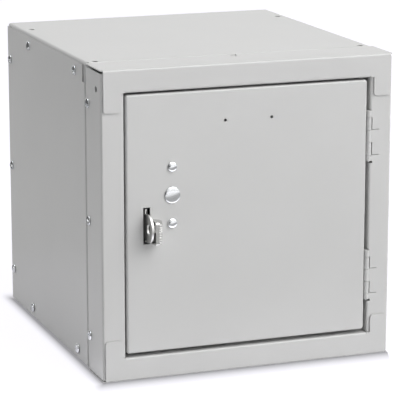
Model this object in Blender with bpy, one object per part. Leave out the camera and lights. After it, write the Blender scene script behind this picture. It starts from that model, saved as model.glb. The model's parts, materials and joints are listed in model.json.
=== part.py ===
"""Cube locker: a folded sheet-steel box with a front frame, a hinged door and a padlock hasp.

The origin is at the centre of the underside. +Z is up and the door faces -Y.
"""

from math import acos, cos, pi, radians, sin

import bmesh
import bpy
from mathutils import Matrix, Vector

MM = 0.001

# Overall size
WIDTH = 305 * MM
HEIGHT = 310 * MM
DEPTH = 330 * MM

# Clearances
SEAT = 0.3 * MM
OVERRUN = 2 * MM
WELD = 0.001 * MM

# Front frame
FRAME_SHEET = 1.4 * MM
FRAME_FLANGE = 47.8 * MM
FRAME_BEND = 2.2 * MM
STOP_BEND = 1 * MM
STILE_FACE = 23.4 * MM
TOP_RAIL_FACE = 23.1 * MM
BOTTOM_RAIL_FACE = 23.4 * MM
CORNER_GAP = 2 * MM
FOOT_GAP = 0.8 * MM
STOP_WIDTH = 14 * MM
RAIL_STOP_HEIGHT = 10 * MM
TAB_LENGTH = 41.7 * MM
TAB_EDGE = 2.2 * MM
TAB_WIDTH = 17.8 * MM
TAB_ROUND = 3 * MM
STILE_HOLE_RADIUS = 3 * MM
STILE_HOLE_FROM_FRONT = 16 * MM
STILE_HOLE_FROM_TOP = 20.3 * MM

# Body panels
BODY_SHEET = 0.9 * MM
TRAY_SEAM = 0.6 * MM
SIDE_SEAM = 3 * MM
JOGGLE_RUN = 2 * MM
TONGUE = 13 * MM
TRAY_BEND = 3 * MM
TRAY_FLANGE = 22 * MM
TRAY_BEND_SETBACK = 2.6 * MM
BACK_BEND = 2.5 * MM
BACK_FLANGE = 18 * MM
SIDE_EDGE_INSET = 3 * MM
SIDE_BACK_INSET = 1 * MM
SIDE_SLIT_WIDTH = 5.2 * MM
SIDE_SLIT_HEIGHT = 17 * MM
SIDE_SLIT_SETBACK = 1.5 * MM
TRAY_BACK_INSET = 0.4 * MM
TRAY_FLANGE_GAP = 2 * MM
BOLT_HOLE_RADIUS = 3.25 * MM
BOLT_HOLE_FROM_SIDE = 11.5 * MM
BOLT_HOLE_FROM_SEAM = 7.2 * MM
BOLT_HOLE_FROM_BACK = 55 * MM

# Door
DOOR_SHEET = 1.2 * MM
DOOR_DEPTH = 14.5 * MM
DOOR_INSET = 0.4 * MM
DOOR_GAP_LATCH = 1.2 * MM
DOOR_GAP_HINGE = 3.9 * MM
DOOR_GAP_TOP = 2.3 * MM
DOOR_GAP_BOTTOM = 3.9 * MM
DOOR_CORNER = 2.6 * MM
DOOR_BEND = 2.2 * MM
DOOR_LIP = 9 * MM
PLATE_HOLE_RADIUS = 1.5 * MM
PLATE_HOLE_SPACING = 48.5 * MM
PLATE_HOLES_FROM_TOP = 30.5 * MM

# Lock hole plugs
PLUG_FROM_LATCH_EDGE = 47.1 * MM
PLUG_ABOVE_MIDDLE = 28.7 * MM
PLUG_SPACING = 28.1 * MM
BUTTON_RADIUS = 8.2 * MM
BUTTON_CROWN = 1.8 * MM
BUTTON_STEM_RADIUS = 6.2 * MM
DOME_RADIUS = 5 * MM
DOME_CROWN = 2.4 * MM
DOME_STEM_RADIUS = 3.2 * MM
PLUG_BARB = 1 * MM
PLUG_BARB_LENGTH = 3 * MM

# Hinges
HINGE_SHEET = 1 * MM
PIN_RADIUS = 1.3 * MM
KNUCKLES = (7.2 * MM, 12.6 * MM, 12.7 * MM, 13.1 * MM, 5.6 * MM)
HINGE_FROM_DOOR_END = 57 * MM
FRAME_LEAF_WIDTH = 15 * MM
DOOR_LEAF_WIDTH = 11.5 * MM
KNUCKLE_GAP = 0.3 * MM
CURL_OPENING = radians(72)
PIN_CHAMFER = 0.4 * MM
NOTCH_SLACK = 0.5 * MM
NOTCH_TICK = 2.5 * MM
NOTCH_DOOR_SLACK = 1.3 * MM
RELIEF_SLIT = 0.6 * MM
RELIEF_LENGTH = 7.6 * MM

# Padlock hasp
SLOT_WIDTH = 7.1 * MM
SLOT_HEIGHT = 36.4 * MM
SLOT_FROM_LATCH_EDGE = 20.7 * MM
STAPLE_SHEET = 2 * MM
STAPLE_BEND = 3 * MM
STAPLE_FOOT_HEIGHT = 33 * MM
STAPLE_FOOT_INSET = 1 * MM
LOBE_HEIGHT = 28 * MM
LOBE_PROUD = 19.3 * MM
LOBE_BELOW_MIDDLE = 1.6 * MM
STAPLE_EYE_RADIUS = 5.2 * MM
EYE_FROM_FACE = 9 * MM
PULL_GAP = 2.9 * MM
PULL_WIDTH = 11 * MM
PULL_FRONT = 3.7 * MM
PULL_RIBBED = 4.2 * MM
PULL_RIB_DROP = 4 * MM
PULL_HEIGHT = 23.4 * MM
PULL_PROUD = 15.6 * MM
PULL_FULLNESS = 5
PULL_BELOW_MIDDLE = 5.5 * MM
PULL_EDGE = 1 * MM
PULL_RIBS = 8
PULL_RIBBED_SHARE = 0.86
PULL_RIB_DEPTH = 0.6 * MM
PULL_EYE_RADIUS = 4.6 * MM
PULL_BASE = 1.5 * MM

# Small fasteners
RIVET_RADIUS = 1.8 * MM
RIVET_HEAD_RADIUS = 3.4 * MM
RIVET_HEAD = 1.3 * MM
RIVET_SPACING = 18 * MM
RIVET_FROM_LATCH_JAMB = 8 * MM
PULL_SCREW_RADIUS = 1.5 * MM
PULL_SCREW_DEPTH = 3.6 * MM
PULL_SCREW_FROM_END = 3 * MM
PULL_SCREW_FROM_LEFT = 5 * MM
SCREW_HEAD_RADIUS = 5 * MM
SCREW_HEAD = 2.6 * MM
SCREW_RIM = 0.5 * MM
SCREW_RADIUS = 2 * MM
SCREW_LENGTH = 9 * MM
SCREW_TIP = 2 * MM
SLOT_CUT_WIDTH = 1.3 * MM
SLOT_CUT_DEPTH = 1.3 * MM
SCREW_TURN = radians(67)
SCREW_FROM_SEAM = 6.1 * MM
SCREW_FROM_BACK = 11 * MM
SCREW_FROM_EDGE = 12.5 * MM
COLUMN_END_INSET = 38 * MM
ROW_END_INSET = 84 * MM

# Door bumpers
BUMPER_RADIUS = 4 * MM
BUMPER_HEIGHT = 2.8 * MM
BUMPER_NECK_RADIUS = 2 * MM
BUMPER_BULB_RADIUS = 2.9 * MM
BUMPER_BULB = 4 * MM
BUMPER_FROM_END = 60 * MM
BUMPER_FROM_LATCH_JAMB = 6 * MM

# Ceiling hook
HOOK_SHEET = 1.5 * MM
HOOK_STRIP = 12 * MM
HOOK_TOP = 27 * MM
HOOK_DROP = 30 * MM
HOOK_REACH = 11 * MM
HOOK_TIP = 12 * MM
HOOK_TOP_BEND = 3 * MM
HOOK_LOW_BEND = 5 * MM
HOOK_FROM_MIDDLE = 15 * MM

# Facets
BEND_STEPS = 4
CURL_STEPS = 15
ROUND_STEPS = 16
HOLE_STEPS = 12
DOME_STEPS = 3
PULL_STEPS = 3
SHARP_ANGLE = radians(35)

# Places worked out from the sizes above
HALF_WIDTH = WIDTH / 2
FRONT = -DEPTH / 2
BACK = DEPTH / 2
MIDDLE = HEIGHT / 2
FRAME_BACK = FRONT + FRAME_FLANGE
STILE_FRONT = FRONT + FRAME_SHEET + SEAT
STILE_BACK = STILE_FRONT + FRAME_SHEET
OPENING_HALF = HALF_WIDTH - STILE_FACE
OPENING_LOW = BOTTOM_RAIL_FACE
OPENING_HIGH = HEIGHT - TOP_RAIL_FACE
DOOR_FRONT = FRONT + DOOR_INSET
DOOR_BACK = DOOR_FRONT + DOOR_DEPTH
DOOR_LEFT = -OPENING_HALF + DOOR_GAP_LATCH
DOOR_RIGHT = OPENING_HALF - DOOR_GAP_HINGE
DOOR_LOW = OPENING_LOW + DOOR_GAP_BOTTOM
DOOR_HIGH = OPENING_HIGH - DOOR_GAP_TOP
STOP_FRONT = DOOR_BACK + BUMPER_HEIGHT + SEAT
STOP_BACK = STOP_FRONT + FRAME_SHEET
JOGGLE = FRAME_SHEET + SEAT
TRAY_FRONT = FRAME_BACK + TRAY_SEAM + JOGGLE_RUN
SIDE_FRONT = FRAME_BACK + SIDE_SEAM + JOGGLE_RUN
SIDE_SLIT_FRONT = SIDE_FRONT + SIDE_SLIT_SETBACK
SIDE_SLIT_BACK = SIDE_SLIT_FRONT + SIDE_SLIT_WIDTH
TONGUE_END = FRAME_BACK - TONGUE
TRAY_HALF = HALF_WIDTH - BODY_SHEET - SEAT
BARREL_RADIUS = PIN_RADIUS + SEAT + HINGE_SHEET
AXIS_X = DOOR_RIGHT + SEAT + BARREL_RADIUS
AXIS_Y = STILE_BACK + SEAT + HINGE_SHEET - BARREL_RADIUS
STAPLE_X = DOOR_LEFT + SLOT_FROM_LATCH_EDGE
STAPLE_RIGHT = STAPLE_X + STAPLE_SHEET / 2
STAPLE_Z = MIDDLE - LOBE_BELOW_MIDDLE
FOOT_FRONT = STOP_BACK + SEAT
FOOT_BACK = FOOT_FRONT + STAPLE_SHEET
PULL_LEFT = STAPLE_RIGHT + PULL_GAP
PULL_Z = MIDDLE - PULL_BELOW_MIDDLE
EYE_Y = DOOR_FRONT - EYE_FROM_FACE
PLUG_X = DOOR_LEFT + PLUG_FROM_LATCH_EDGE
HOOK_TOP_Z = HEIGHT - BODY_SHEET - SEAT

FINISHES = {
    "grey_enamel": ((0.60, 0.60, 0.60, 1), 0.45, 0.0),
    "zinc_plate": ((0.62, 0.62, 0.63, 1), 0.3, 1.0),
    "black_rubber": ((0.03, 0.03, 0.03, 1), 0.8, 0.0),
}


def clear_scene():
    for old in list(bpy.data.objects):
        bpy.data.objects.remove(old)


def finish(name, node):
    """Each piece has its own Principled material, named for its finish and its node."""
    colour, roughness, metallic = FINISHES[name]
    made = bpy.data.materials.new(f"{name}_{node}")
    made.use_nodes = True
    shader = made.node_tree.nodes["Principled BSDF"]
    shader.inputs["Base Color"].default_value = colour
    shader.inputs["Roughness"].default_value = roughness
    shader.inputs["Metallic"].default_value = metallic
    return made


def add_object(name, shape, finish_name, place=(0, 0, 0)):
    """A bmesh becomes a named object, shaded smooth but for its sharp edges."""
    mesh = bpy.data.meshes.new(name)
    shape.to_mesh(mesh)
    shape.free()
    mesh.shade_smooth()
    mesh.set_sharp_from_angle(angle=SHARP_ANGLE)
    made = bpy.data.objects.new(name, mesh)
    made.location = place
    bpy.context.scene.collection.objects.link(made)
    mesh.materials.append(finish(finish_name, name))
    return made


def parent_to(child, parent):
    """The child keeps its place in the world."""
    child.location = Vector(child.location) - parent.location
    child.parent = parent


def rounded_path(corners, steps=BEND_STEPS):
    """Points along straight runs joined by arcs, and a label for each stretch between them.

    A corner is (u, v, radius). Run k has the label k, and the bend after it has k + 0.5.
    """
    points = [Vector(corners[0][:2])]
    labels = []
    for k in range(1, len(corners) - 1):
        here = Vector(corners[k][:2])
        radius = corners[k][2]
        back = (Vector(corners[k - 1][:2]) - here).normalized()
        ahead = (Vector(corners[k + 1][:2]) - here).normalized()
        half_angle = back.angle(ahead) / 2
        reach = radius * cos(half_angle) / sin(half_angle)
        centre = here + (back + ahead).normalized() * radius / sin(half_angle)
        start = here + back * reach - centre
        turn = start.angle_signed(here + ahead * reach - centre)
        labels.append(k - 1)
        for step in range(steps + 1):
            points.append(centre + Matrix.Rotation(-turn * step / steps, 2) @ start)
            labels.append(k - 0.5)
        labels.pop()
    labels.append(len(corners) - 2)
    points.append(Vector(corners[-1][:2]))
    return points, labels


def grid_faces(shape, across, along, place, keep):
    """Adds the cells of a folded sheet. across and along are (points, labels)."""
    columns, column_labels = across
    rows, row_labels = along
    corners = {}

    def corner(i, j):
        if (i, j) not in corners:
            corners[i, j] = shape.verts.new(place(columns[i], rows[j]))
        return corners[i, j]

    for i, column_label in enumerate(column_labels):
        for j, row_label in enumerate(row_labels):
            middle = (rows[j][0] + rows[j + 1][0]) / 2
            if keep(column_label, row_label, middle):
                shape.faces.new([corner(i, j), corner(i + 1, j), corner(i + 1, j + 1), corner(i, j + 1)])


def stations(*values):
    """Straight stretches between the values, with no offset."""
    return [Vector((value, 0)) for value in values], list(range(len(values) - 1))


def thicken(made, thickness):
    """The sheet's outer face is modelled, and its thickness goes inwards."""
    solid = made.modifiers.new("Sheet", "SOLIDIFY")
    solid.thickness = thickness
    solid.offset = -1
    solid.use_even_offset = True
    return made


def face_outwards(shape, outwards):
    """Turns the sheet over if its largest face doesn't look along outwards."""
    bmesh.ops.remove_doubles(shape, verts=shape.verts, dist=WELD)
    shape.normal_update()
    largest = max(shape.faces, key=lambda face: face.calc_area())
    if largest.normal.dot(Vector(outwards)) < 0:
        bmesh.ops.reverse_faces(shape, faces=shape.faces)


def turned_shape(profile, steps=ROUND_STEPS):
    """A solid of revolution about local Z. The profile runs from the axis, top first, back to it."""
    shape = bmesh.new()
    rings = []
    for radius, height in profile:
        if radius == 0:
            rings.append([shape.verts.new((0, 0, height))])
            continue
        angles = [2 * pi * step / steps for step in range(steps)]
        rings.append([shape.verts.new((radius * cos(a), radius * sin(a), height)) for a in angles])
    for upper, lower in zip(rings, rings[1:]):
        for step in range(steps):
            ahead = (step + 1) % steps
            around = [upper[step % len(upper)], lower[step % len(lower)]]
            around += [lower[ahead % len(lower)], upper[ahead % len(upper)]]
            shape.faces.new(list(dict.fromkeys(around)))
    return shape


def dome(radius, crown, base):
    """Profile points of a crowned head, from the axis out to its rim at height base."""
    points = [(0, base + crown)]
    for step in range(1, DOME_STEPS + 1):
        angle = pi / 2 * step / DOME_STEPS
        points.append((radius * sin(angle), base + crown * cos(angle)))
    return points


def facing(axis):
    """The rotation that turns local Z onto the axis."""
    return Vector((0, 0, 1)).rotation_difference(Vector(axis))


def add_cutter(name, shape):
    cutter = add_object(name, shape, "grey_enamel")
    cutter.hide_render = True
    cutter.display_type = "WIRE"
    return cutter


def cut(made, cutter, operation="DIFFERENCE"):
    tool = made.modifiers.new(cutter.name, "BOOLEAN")
    tool.operation = operation
    tool.solver = "EXACT"
    tool.object = cutter


def drill(made, sites, radius, axis, length):
    """Round holes of one size, each centred on its site."""
    shape = bmesh.new()
    for site in sites:
        bmesh.ops.create_cone(
            shape,
            cap_ends=True,
            segments=HOLE_STEPS,
            radius1=radius,
            radius2=radius,
            depth=length,
            matrix=Matrix.Translation(site) @ facing(axis).to_matrix().to_4x4(),
        )
    cut(made, add_cutter(f"holes_{len(made.modifiers)}_{made.name}", shape))


def box_cut(made, boxes, name):
    """Cuts boxes given by their lowest and highest corners."""
    shape = bmesh.new()
    for low, high in boxes:
        scale = Matrix.Diagonal(Vector(high) - Vector(low)).to_4x4()
        place = Matrix.Translation((Vector(high) + Vector(low)) / 2)
        bmesh.ops.create_cube(shape, size=1, matrix=place @ scale)
    cut(made, add_cutter(f"{name}_{made.name}", shape))


def column_heights():
    return {"low": COLUMN_END_INSET, "middle": MIDDLE, "high": HEIGHT - COLUMN_END_INSET}


def row_places():
    return {"front": FRONT + ROW_END_INSET, "rear": BACK - ROW_END_INSET}


def side_screw_sites(side):
    """Name, (y, z) and group of each screw on one side."""
    found = {}
    for level, z in column_heights().items():
        found[f"{side}_frame_screw_{level}"] = (FRAME_BACK - SCREW_FROM_SEAM, z, "frame")
        found[f"{side}_back_screw_{level}"] = (BACK - SCREW_FROM_BACK, z, "back")
    for end, y in row_places().items():
        found[f"{side}_top_screw_{end}"] = (y, HEIGHT - SCREW_FROM_EDGE, "top")
        found[f"{side}_bottom_screw_{end}"] = (y, SCREW_FROM_EDGE, "bottom")
    return found


def side_holes(signs, groups):
    """Places of the screw holes of these groups, on the sides named by their signs."""
    return [
        (sign * HALF_WIDTH, y, z)
        for sign in signs
        for y, z, group in side_screw_sites("side").values()
        if group in groups
    ]


def drill_sides(made, signs, groups):
    span = 2 * (FRAME_SHEET + JOGGLE + OVERRUN)
    drill(made, side_holes(signs, groups), SCREW_RADIUS + SEAT, (1, 0, 0), span)


def hinge_middles():
    return {"upper": DOOR_HIGH - HINGE_FROM_DOOR_END, "lower": DOOR_LOW + HINGE_FROM_DOOR_END}


def knuckle_edges(middle):
    """Heights of the knuckles' ends, from the top down."""
    edges = [middle + sum(KNUCKLES) / 2]
    for length in KNUCKLES:
        edges.append(edges[-1] - length)
    return edges


def stile(side, sign):
    """A folded upright: side flange, face, jamb and stop lip."""
    corners = [
        (-HALF_WIDTH, FRAME_BACK, 0),
        (-HALF_WIDTH, STILE_FRONT, FRAME_BEND),
        (-OPENING_HALF, STILE_FRONT, FRAME_BEND),
        (-OPENING_HALF, STOP_FRONT, STOP_BEND),
        (-OPENING_HALF + STOP_WIDTH, STOP_FRONT, 0),
    ]
    low = FRAME_SHEET + FOOT_GAP
    high = HEIGHT - FRAME_SHEET - CORNER_GAP
    along = stations(low, OPENING_LOW + SEAT, OPENING_HIGH - SEAT, high)
    shape = bmesh.new()
    grid_faces(
        shape,
        rounded_path(corners),
        along,
        lambda across, up: (-sign * across[0], across[1], up[0]),
        lambda run, row, z: run < 2.5 or row == 1,
    )
    face_outwards(shape, (sign, 0, 0))
    made = thicken(add_object(f"{side}_stile", shape, "grey_enamel"), FRAME_SHEET)
    drill_sides(made, [sign], ["frame"])
    hole = (sign * HALF_WIDTH, FRONT + STILE_HOLE_FROM_FRONT, HEIGHT - STILE_HOLE_FROM_TOP)
    drill(made, [hole], STILE_HOLE_RADIUS, (1, 0, 0), 2 * (FRAME_SHEET + OVERRUN))
    return made


def notch_stile(made):
    """Room for the hinge barrels: a comb that clears the door's knuckles by more than the frame's own."""
    boxes = []
    near = AXIS_X + BARREL_RADIUS + SEAT
    far = near + NOTCH_DOOR_SLACK - SEAT
    front = STILE_FRONT - OVERRUN
    behind_face = STILE_BACK + SEAT
    behind_leaf = behind_face + HINGE_SHEET + SEAT
    slit_end = far + RELIEF_LENGTH
    for middle in hinge_middles().values():
        edges = knuckle_edges(middle)
        top = edges[0] + NOTCH_SLACK
        bottom = edges[-1] - NOTCH_TICK
        boxes.append(((OPENING_HALF - OVERRUN, front, bottom), (near, behind_leaf, top)))
        for high, low in ((edges[1], edges[2]), (edges[3], edges[4])):
            slit_top = low + RELIEF_SLIT
            boxes.append(((near - SEAT, front, low), (far, behind_face, high)))
            boxes.append(((far - SEAT, front, low), (slit_end, behind_face, slit_top)))
        tick = far + NOTCH_SLACK
        boxes.append(((near - SEAT, front, bottom), (tick, behind_face, edges[-1] - SEAT)))
    for number, box in enumerate(boxes):
        box_cut(made, [box], f"notch_{number}")


def tab_outline(sign, face_edge, bend_start, tip):
    """One end of a rail's face: a raw edge beside the opening, then the tab over the stile."""
    inner = OPENING_HALF - SEAT
    tab_in = HALF_WIDTH - TAB_EDGE - TAB_WIDTH
    tab_out = HALF_WIDTH - TAB_EDGE
    outline = [(tab_out, bend_start, 0), (tab_out, tip, TAB_ROUND), (tab_in, tip, TAB_ROUND)]
    outline += [(tab_in, face_edge, 0)]
    points, _ = rounded_path(outline)
    points += [Vector((inner, face_edge)), Vector((inner, bend_start))]
    return [(sign * x, FRONT, z) for x, z in points]


def rail(name, outer, face_height, toward):
    """A folded cross member: flange, face with a tab at each end, jamb and stop lip."""
    edge = outer + toward * face_height
    stop_edge = edge + toward * RAIL_STOP_HEIGHT
    corners = [
        (outer, FRAME_BACK, 0),
        (outer, FRONT, FRAME_BEND),
        (edge, FRONT, FRAME_BEND),
        (edge, STOP_FRONT, STOP_BEND),
        (stop_edge, STOP_FRONT, 0),
    ]
    face_half = HALF_WIDTH - TAB_EDGE
    jamb_half = OPENING_HALF - SEAT
    stop_half = OPENING_HALF - STOP_WIDTH - SEAT
    halves = [HALF_WIDTH, face_half, jamb_half, stop_half]
    limits = {0: HALF_WIDTH, 0.5: face_half, 1: face_half}
    limits |= {1.5: jamb_half, 2: jamb_half, 2.5: stop_half, 3: stop_half}
    shape = bmesh.new()
    grid_faces(
        shape,
        rounded_path(corners),
        stations(*[-half for half in halves], *reversed(halves)),
        lambda across, x: (x[0], across[1], across[0]),
        lambda run, row, x: abs(x) < limits[run],
    )
    bend_start = edge - toward * FRAME_BEND
    tip = outer + toward * TAB_LENGTH
    for sign in (-1, 1):
        outline = tab_outline(sign, edge, bend_start, tip)
        shape.faces.new([shape.verts.new(point) for point in outline])
    bmesh.ops.remove_doubles(shape, verts=shape.verts, dist=WELD)
    bmesh.ops.recalc_face_normals(shape, faces=shape.faces)
    face_outwards(shape, (0, -1, -toward))
    return thicken(add_object(name, shape, "grey_enamel"), FRAME_SHEET)


def joggled(front, inwards, *stops):
    """Places along the depth of a panel whose front edge steps in under the frame's flange."""
    step = Vector((0, inwards * JOGGLE))
    tongue = [Vector((TONGUE_END, 0)) + step, Vector((front - JOGGLE_RUN, 0)) + step]
    return tongue + [Vector((y, 0)) for y in (front, *stops)]


def side_panel(side, sign):
    """A flat sheet with a joggled front edge and a relief slit at its top front corner."""
    rows = joggled(SIDE_FRONT, 1, SIDE_SLIT_FRONT, SIDE_SLIT_BACK, BACK - SIDE_BACK_INSET)
    slit_row = 3
    top = HEIGHT - SIDE_EDGE_INSET
    shape = bmesh.new()
    grid_faces(
        shape,
        stations(SIDE_EDGE_INSET, top - SIDE_SLIT_HEIGHT, top),
        (rows, list(range(len(rows) - 1))),
        lambda up, deep: (sign * (HALF_WIDTH - deep[1]), deep[0], up[0]),
        lambda column, row, y: not (column == 1 and row == slit_row),
    )
    face_outwards(shape, (sign, 0, 0))
    made = thicken(add_object(f"{side}_side_panel", shape, "grey_enamel"), BODY_SHEET)
    drill_sides(made, [sign], ["frame", "back", "top", "bottom"])
    return made


def tray(name, outer, toward, group):
    """A panel with a joggled front edge and side flanges that start behind the side panels' slits."""
    corners = [
        (-TRAY_HALF, outer + toward * TRAY_FLANGE, 0),
        (-TRAY_HALF, outer, TRAY_BEND),
        (TRAY_HALF, outer, TRAY_BEND),
        (TRAY_HALF, outer + toward * TRAY_FLANGE, 0),
    ]
    bend_front = TRAY_FRONT + TRAY_BEND_SETBACK
    flange_back = BACK - BACK_FLANGE - TRAY_FLANGE_GAP
    rows = joggled(TRAY_FRONT, toward, bend_front, SIDE_SLIT_BACK, flange_back, BACK - TRAY_BACK_INSET)
    shape = bmesh.new()
    grid_faces(
        shape,
        rounded_path(corners),
        (rows, list(range(len(rows) - 1))),
        lambda across, deep: (across[0], deep[0], across[1] + deep[1]),
        lambda run, row, y: (
            run == 1 or (run in (0.5, 1.5) and y > bend_front) or SIDE_SLIT_BACK < y < flange_back
        ),
    )
    face_outwards(shape, (0, 0, -toward))
    made = thicken(add_object(name, shape, "grey_enamel"), BODY_SHEET)
    drill_sides(made, [-1, 1], [group])
    return made


def bolt_holes(outer):
    """Four holes that join one locker to the next, near the corners of a tray."""
    x = HALF_WIDTH - BOLT_HOLE_FROM_SIDE
    front = FRAME_BACK + BOLT_HOLE_FROM_SEAM
    back = BACK - BOLT_HOLE_FROM_BACK
    return [(sign * x, y, outer) for sign in (-1, 1) for y in (front, back)]


def back_panel():
    """A tray with a flange on all four sides, inside the side panels and under the top."""
    flange_front = BACK - BACK_FLANGE
    low = BODY_SHEET + SEAT
    high = HEIGHT - low
    across = [
        (-TRAY_HALF, flange_front, 0),
        (-TRAY_HALF, BACK, BACK_BEND),
        (TRAY_HALF, BACK, BACK_BEND),
        (TRAY_HALF, flange_front, 0),
    ]
    along = [(low, -BACK_FLANGE, 0), (low, 0, BACK_BEND), (high, 0, BACK_BEND), (high, -BACK_FLANGE, 0)]
    shape = bmesh.new()
    grid_faces(
        shape,
        rounded_path(across),
        rounded_path(along),
        lambda column, row: (column[0], column[1] + row[1], row[0]),
        lambda run, row, z: run == 1 or row == 1,
    )
    face_outwards(shape, (0, 1, 0))
    made = thicken(add_object("back_panel", shape, "grey_enamel"), BODY_SHEET)
    drill_sides(made, [-1, 1], ["back"])
    return made


def rounded_rectangle(inset, y):
    """One loop of the door's outline, drawn in by inset."""
    radius = max(DOOR_CORNER - inset, SEAT)
    loop = []
    for turn, x, z in (
        (0, DOOR_RIGHT - inset - radius, DOOR_HIGH - inset - radius),
        (1, DOOR_LEFT + inset + radius, DOOR_HIGH - inset - radius),
        (2, DOOR_LEFT + inset + radius, DOOR_LOW + inset + radius),
        (3, DOOR_RIGHT - inset - radius, DOOR_LOW + inset + radius),
    ):
        for step in range(BEND_STEPS + 1):
            angle = pi / 2 * (turn + step / BEND_STEPS)
            loop.append((x + radius * cos(angle), y, z + radius * sin(angle)))
    return loop


def door_panel():
    """A pan with rounded edges, side walls and a return lip all round."""
    loops = []
    for step in range(BEND_STEPS + 1):
        angle = pi / 2 * step / BEND_STEPS
        inset = DOOR_BEND * (1 - sin(angle))
        loops.append(rounded_rectangle(inset, DOOR_FRONT + DOOR_BEND * (1 - cos(angle))))
    for step in range(BEND_STEPS + 1):
        angle = pi / 2 * step / BEND_STEPS
        inset = DOOR_BEND * (1 - cos(angle))
        loops.append(rounded_rectangle(inset, DOOR_BACK - DOOR_BEND * (1 - sin(angle))))
    loops.append(rounded_rectangle(DOOR_LIP, DOOR_BACK))
    shape = bmesh.new()
    rings = [[shape.verts.new(point) for point in loop] for loop in loops]
    shape.faces.new(rings[0])
    for outer, inner in zip(rings, rings[1:]):
        for k, vert in enumerate(outer):
            ahead = (k + 1) % len(outer)
            shape.faces.new([vert, inner[k], inner[ahead], outer[ahead]])
    bmesh.ops.recalc_face_normals(shape, faces=shape.faces)
    face_outwards(shape, (0, -1, 0))
    made = thicken(add_object("door", shape, "grey_enamel"), DOOR_SHEET)
    cut_door(made)
    return made


def cut_door(made):
    """Holes for the number plate, the plugs and the pull's screws, and the slot for the staple."""
    through = 2 * (DOOR_BEND + OVERRUN)
    door_middle = (DOOR_LEFT + DOOR_RIGHT) / 2
    plate_z = DOOR_HIGH - PLATE_HOLES_FROM_TOP
    plate = [(door_middle + sign * PLATE_HOLE_SPACING / 2, DOOR_FRONT, plate_z) for sign in (-1, 1)]
    drill(made, plate, PLATE_HOLE_RADIUS, (0, 1, 0), through)
    sites = plug_sites()
    drill(made, [sites["lock_hole_plug"]], BUTTON_STEM_RADIUS + SEAT, (0, 1, 0), through)
    domes = [sites["upper_screw_hole_plug"], sites["lower_screw_hole_plug"]]
    drill(made, domes, DOME_STEM_RADIUS + SEAT, (0, 1, 0), through)
    drill(made, pull_screw_sites().values(), PULL_SCREW_RADIUS + SEAT, (0, 1, 0), through)
    low = (STAPLE_X - SLOT_WIDTH / 2, DOOR_FRONT - OVERRUN, MIDDLE - SLOT_HEIGHT / 2)
    high = (STAPLE_X + SLOT_WIDTH / 2, DOOR_FRONT + DOOR_SHEET + OVERRUN, MIDDLE + SLOT_HEIGHT / 2)
    box_cut(made, [(low, high)], "hasp_slot")


def plug_sites():
    middle = MIDDLE + PLUG_ABOVE_MIDDLE
    return {
        "lock_hole_plug": (PLUG_X, DOOR_FRONT, middle),
        "upper_screw_hole_plug": (PLUG_X, DOOR_FRONT, middle + PLUG_SPACING),
        "lower_screw_hole_plug": (PLUG_X, DOOR_FRONT, middle - PLUG_SPACING),
    }


def hole_plug(name, radius, crown, stem):
    """A crowned cap on a stem that snaps behind the door's sheet."""
    inside = -DOOR_SHEET - SEAT
    profile = dome(radius, crown, SEAT)
    profile += [(stem, SEAT), (stem, inside), (stem + PLUG_BARB, inside)]
    profile += [(stem, inside - PLUG_BARB_LENGTH), (0, inside - PLUG_BARB_LENGTH)]
    made = add_object(name, turned_shape(profile), "zinc_plate", plug_sites()[name])
    made.rotation_mode = "QUATERNION"
    made.rotation_quaternion = facing((0, -1, 0))
    return made


def curl(start_angle):
    """The rolled end of a leaf: the barrel's outer face, from where the leaf meets it."""
    sweep = 2 * pi - CURL_OPENING
    points = []
    for step in range(CURL_STEPS + 1):
        angle = start_angle + sweep * step / CURL_STEPS
        points.append(Vector((AXIS_X + BARREL_RADIUS * cos(angle), AXIS_Y + BARREL_RADIUS * sin(angle))))
    return points


def hinge_rows(middle):
    """Heights along a leaf, and for each stretch the knuckle it belongs to, or None in a gap."""
    edges = knuckle_edges(middle)
    heights = [edges[0]]
    owners = []
    for k, edge in enumerate(edges[1:]):
        last = k == len(KNUCKLES) - 1
        heights.append(edge if last else edge + KNUCKLE_GAP / 2)
        owners.append(k)
        if not last:
            heights.append(edge - KNUCKLE_GAP / 2)
            owners.append(None)
    return [Vector((height, 0)) for height in heights], owners


def hinge_leaf(name, middle, straight, start_angle, knuckles, outwards):
    """A leaf whose own knuckles curl round the pin."""
    points = [Vector(point) for point in straight] + curl(start_angle)
    labels = ["plate"] * (len(straight) - 1) + ["curl"] * (CURL_STEPS + 1)
    shape = bmesh.new()
    grid_faces(
        shape,
        (points, labels),
        hinge_rows(middle),
        lambda across, up: (across[0], across[1], up[0]),
        lambda run, owner, z: run == "plate" or owner in knuckles,
    )
    face_outwards(shape, outwards)
    return thicken(add_object(name, shape, "grey_enamel"), HINGE_SHEET)


def frame_leaf(level, middle):
    """Behind the stile's face. Its knuckles are the first, third and fifth."""
    back = AXIS_Y + BARREL_RADIUS
    plate_end = AXIS_X + BARREL_RADIUS + SEAT
    straight = [(AXIS_X + FRAME_LEAF_WIDTH, back), (plate_end, back)]
    return hinge_leaf(f"{level}_hinge_frame_leaf", middle, straight, pi / 2, (0, 2, 4), (0, 1, 0))


def door_leaf(level, middle):
    """On the door's edge. Its knuckles are the second and fourth."""
    left = AXIS_X - BARREL_RADIUS
    plate_end = AXIS_Y + BARREL_RADIUS + SEAT
    straight = [(left, AXIS_Y + DOOR_LEAF_WIDTH), (left, plate_end)]
    return hinge_leaf(f"{level}_hinge_door_leaf", middle, straight, pi, (1, 3), (-1, 0, 0))


def hinge_pin(level, middle):
    half = sum(KNUCKLES) / 2
    profile = [(0, half), (PIN_RADIUS - PIN_CHAMFER, half), (PIN_RADIUS, half - PIN_CHAMFER)]
    profile += [(PIN_RADIUS, PIN_CHAMFER - half), (PIN_RADIUS - PIN_CHAMFER, -half), (0, -half)]
    return add_object(f"{level}_hinge_pin", turned_shape(profile), "grey_enamel", (AXIS_X, AXIS_Y, middle))


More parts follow.
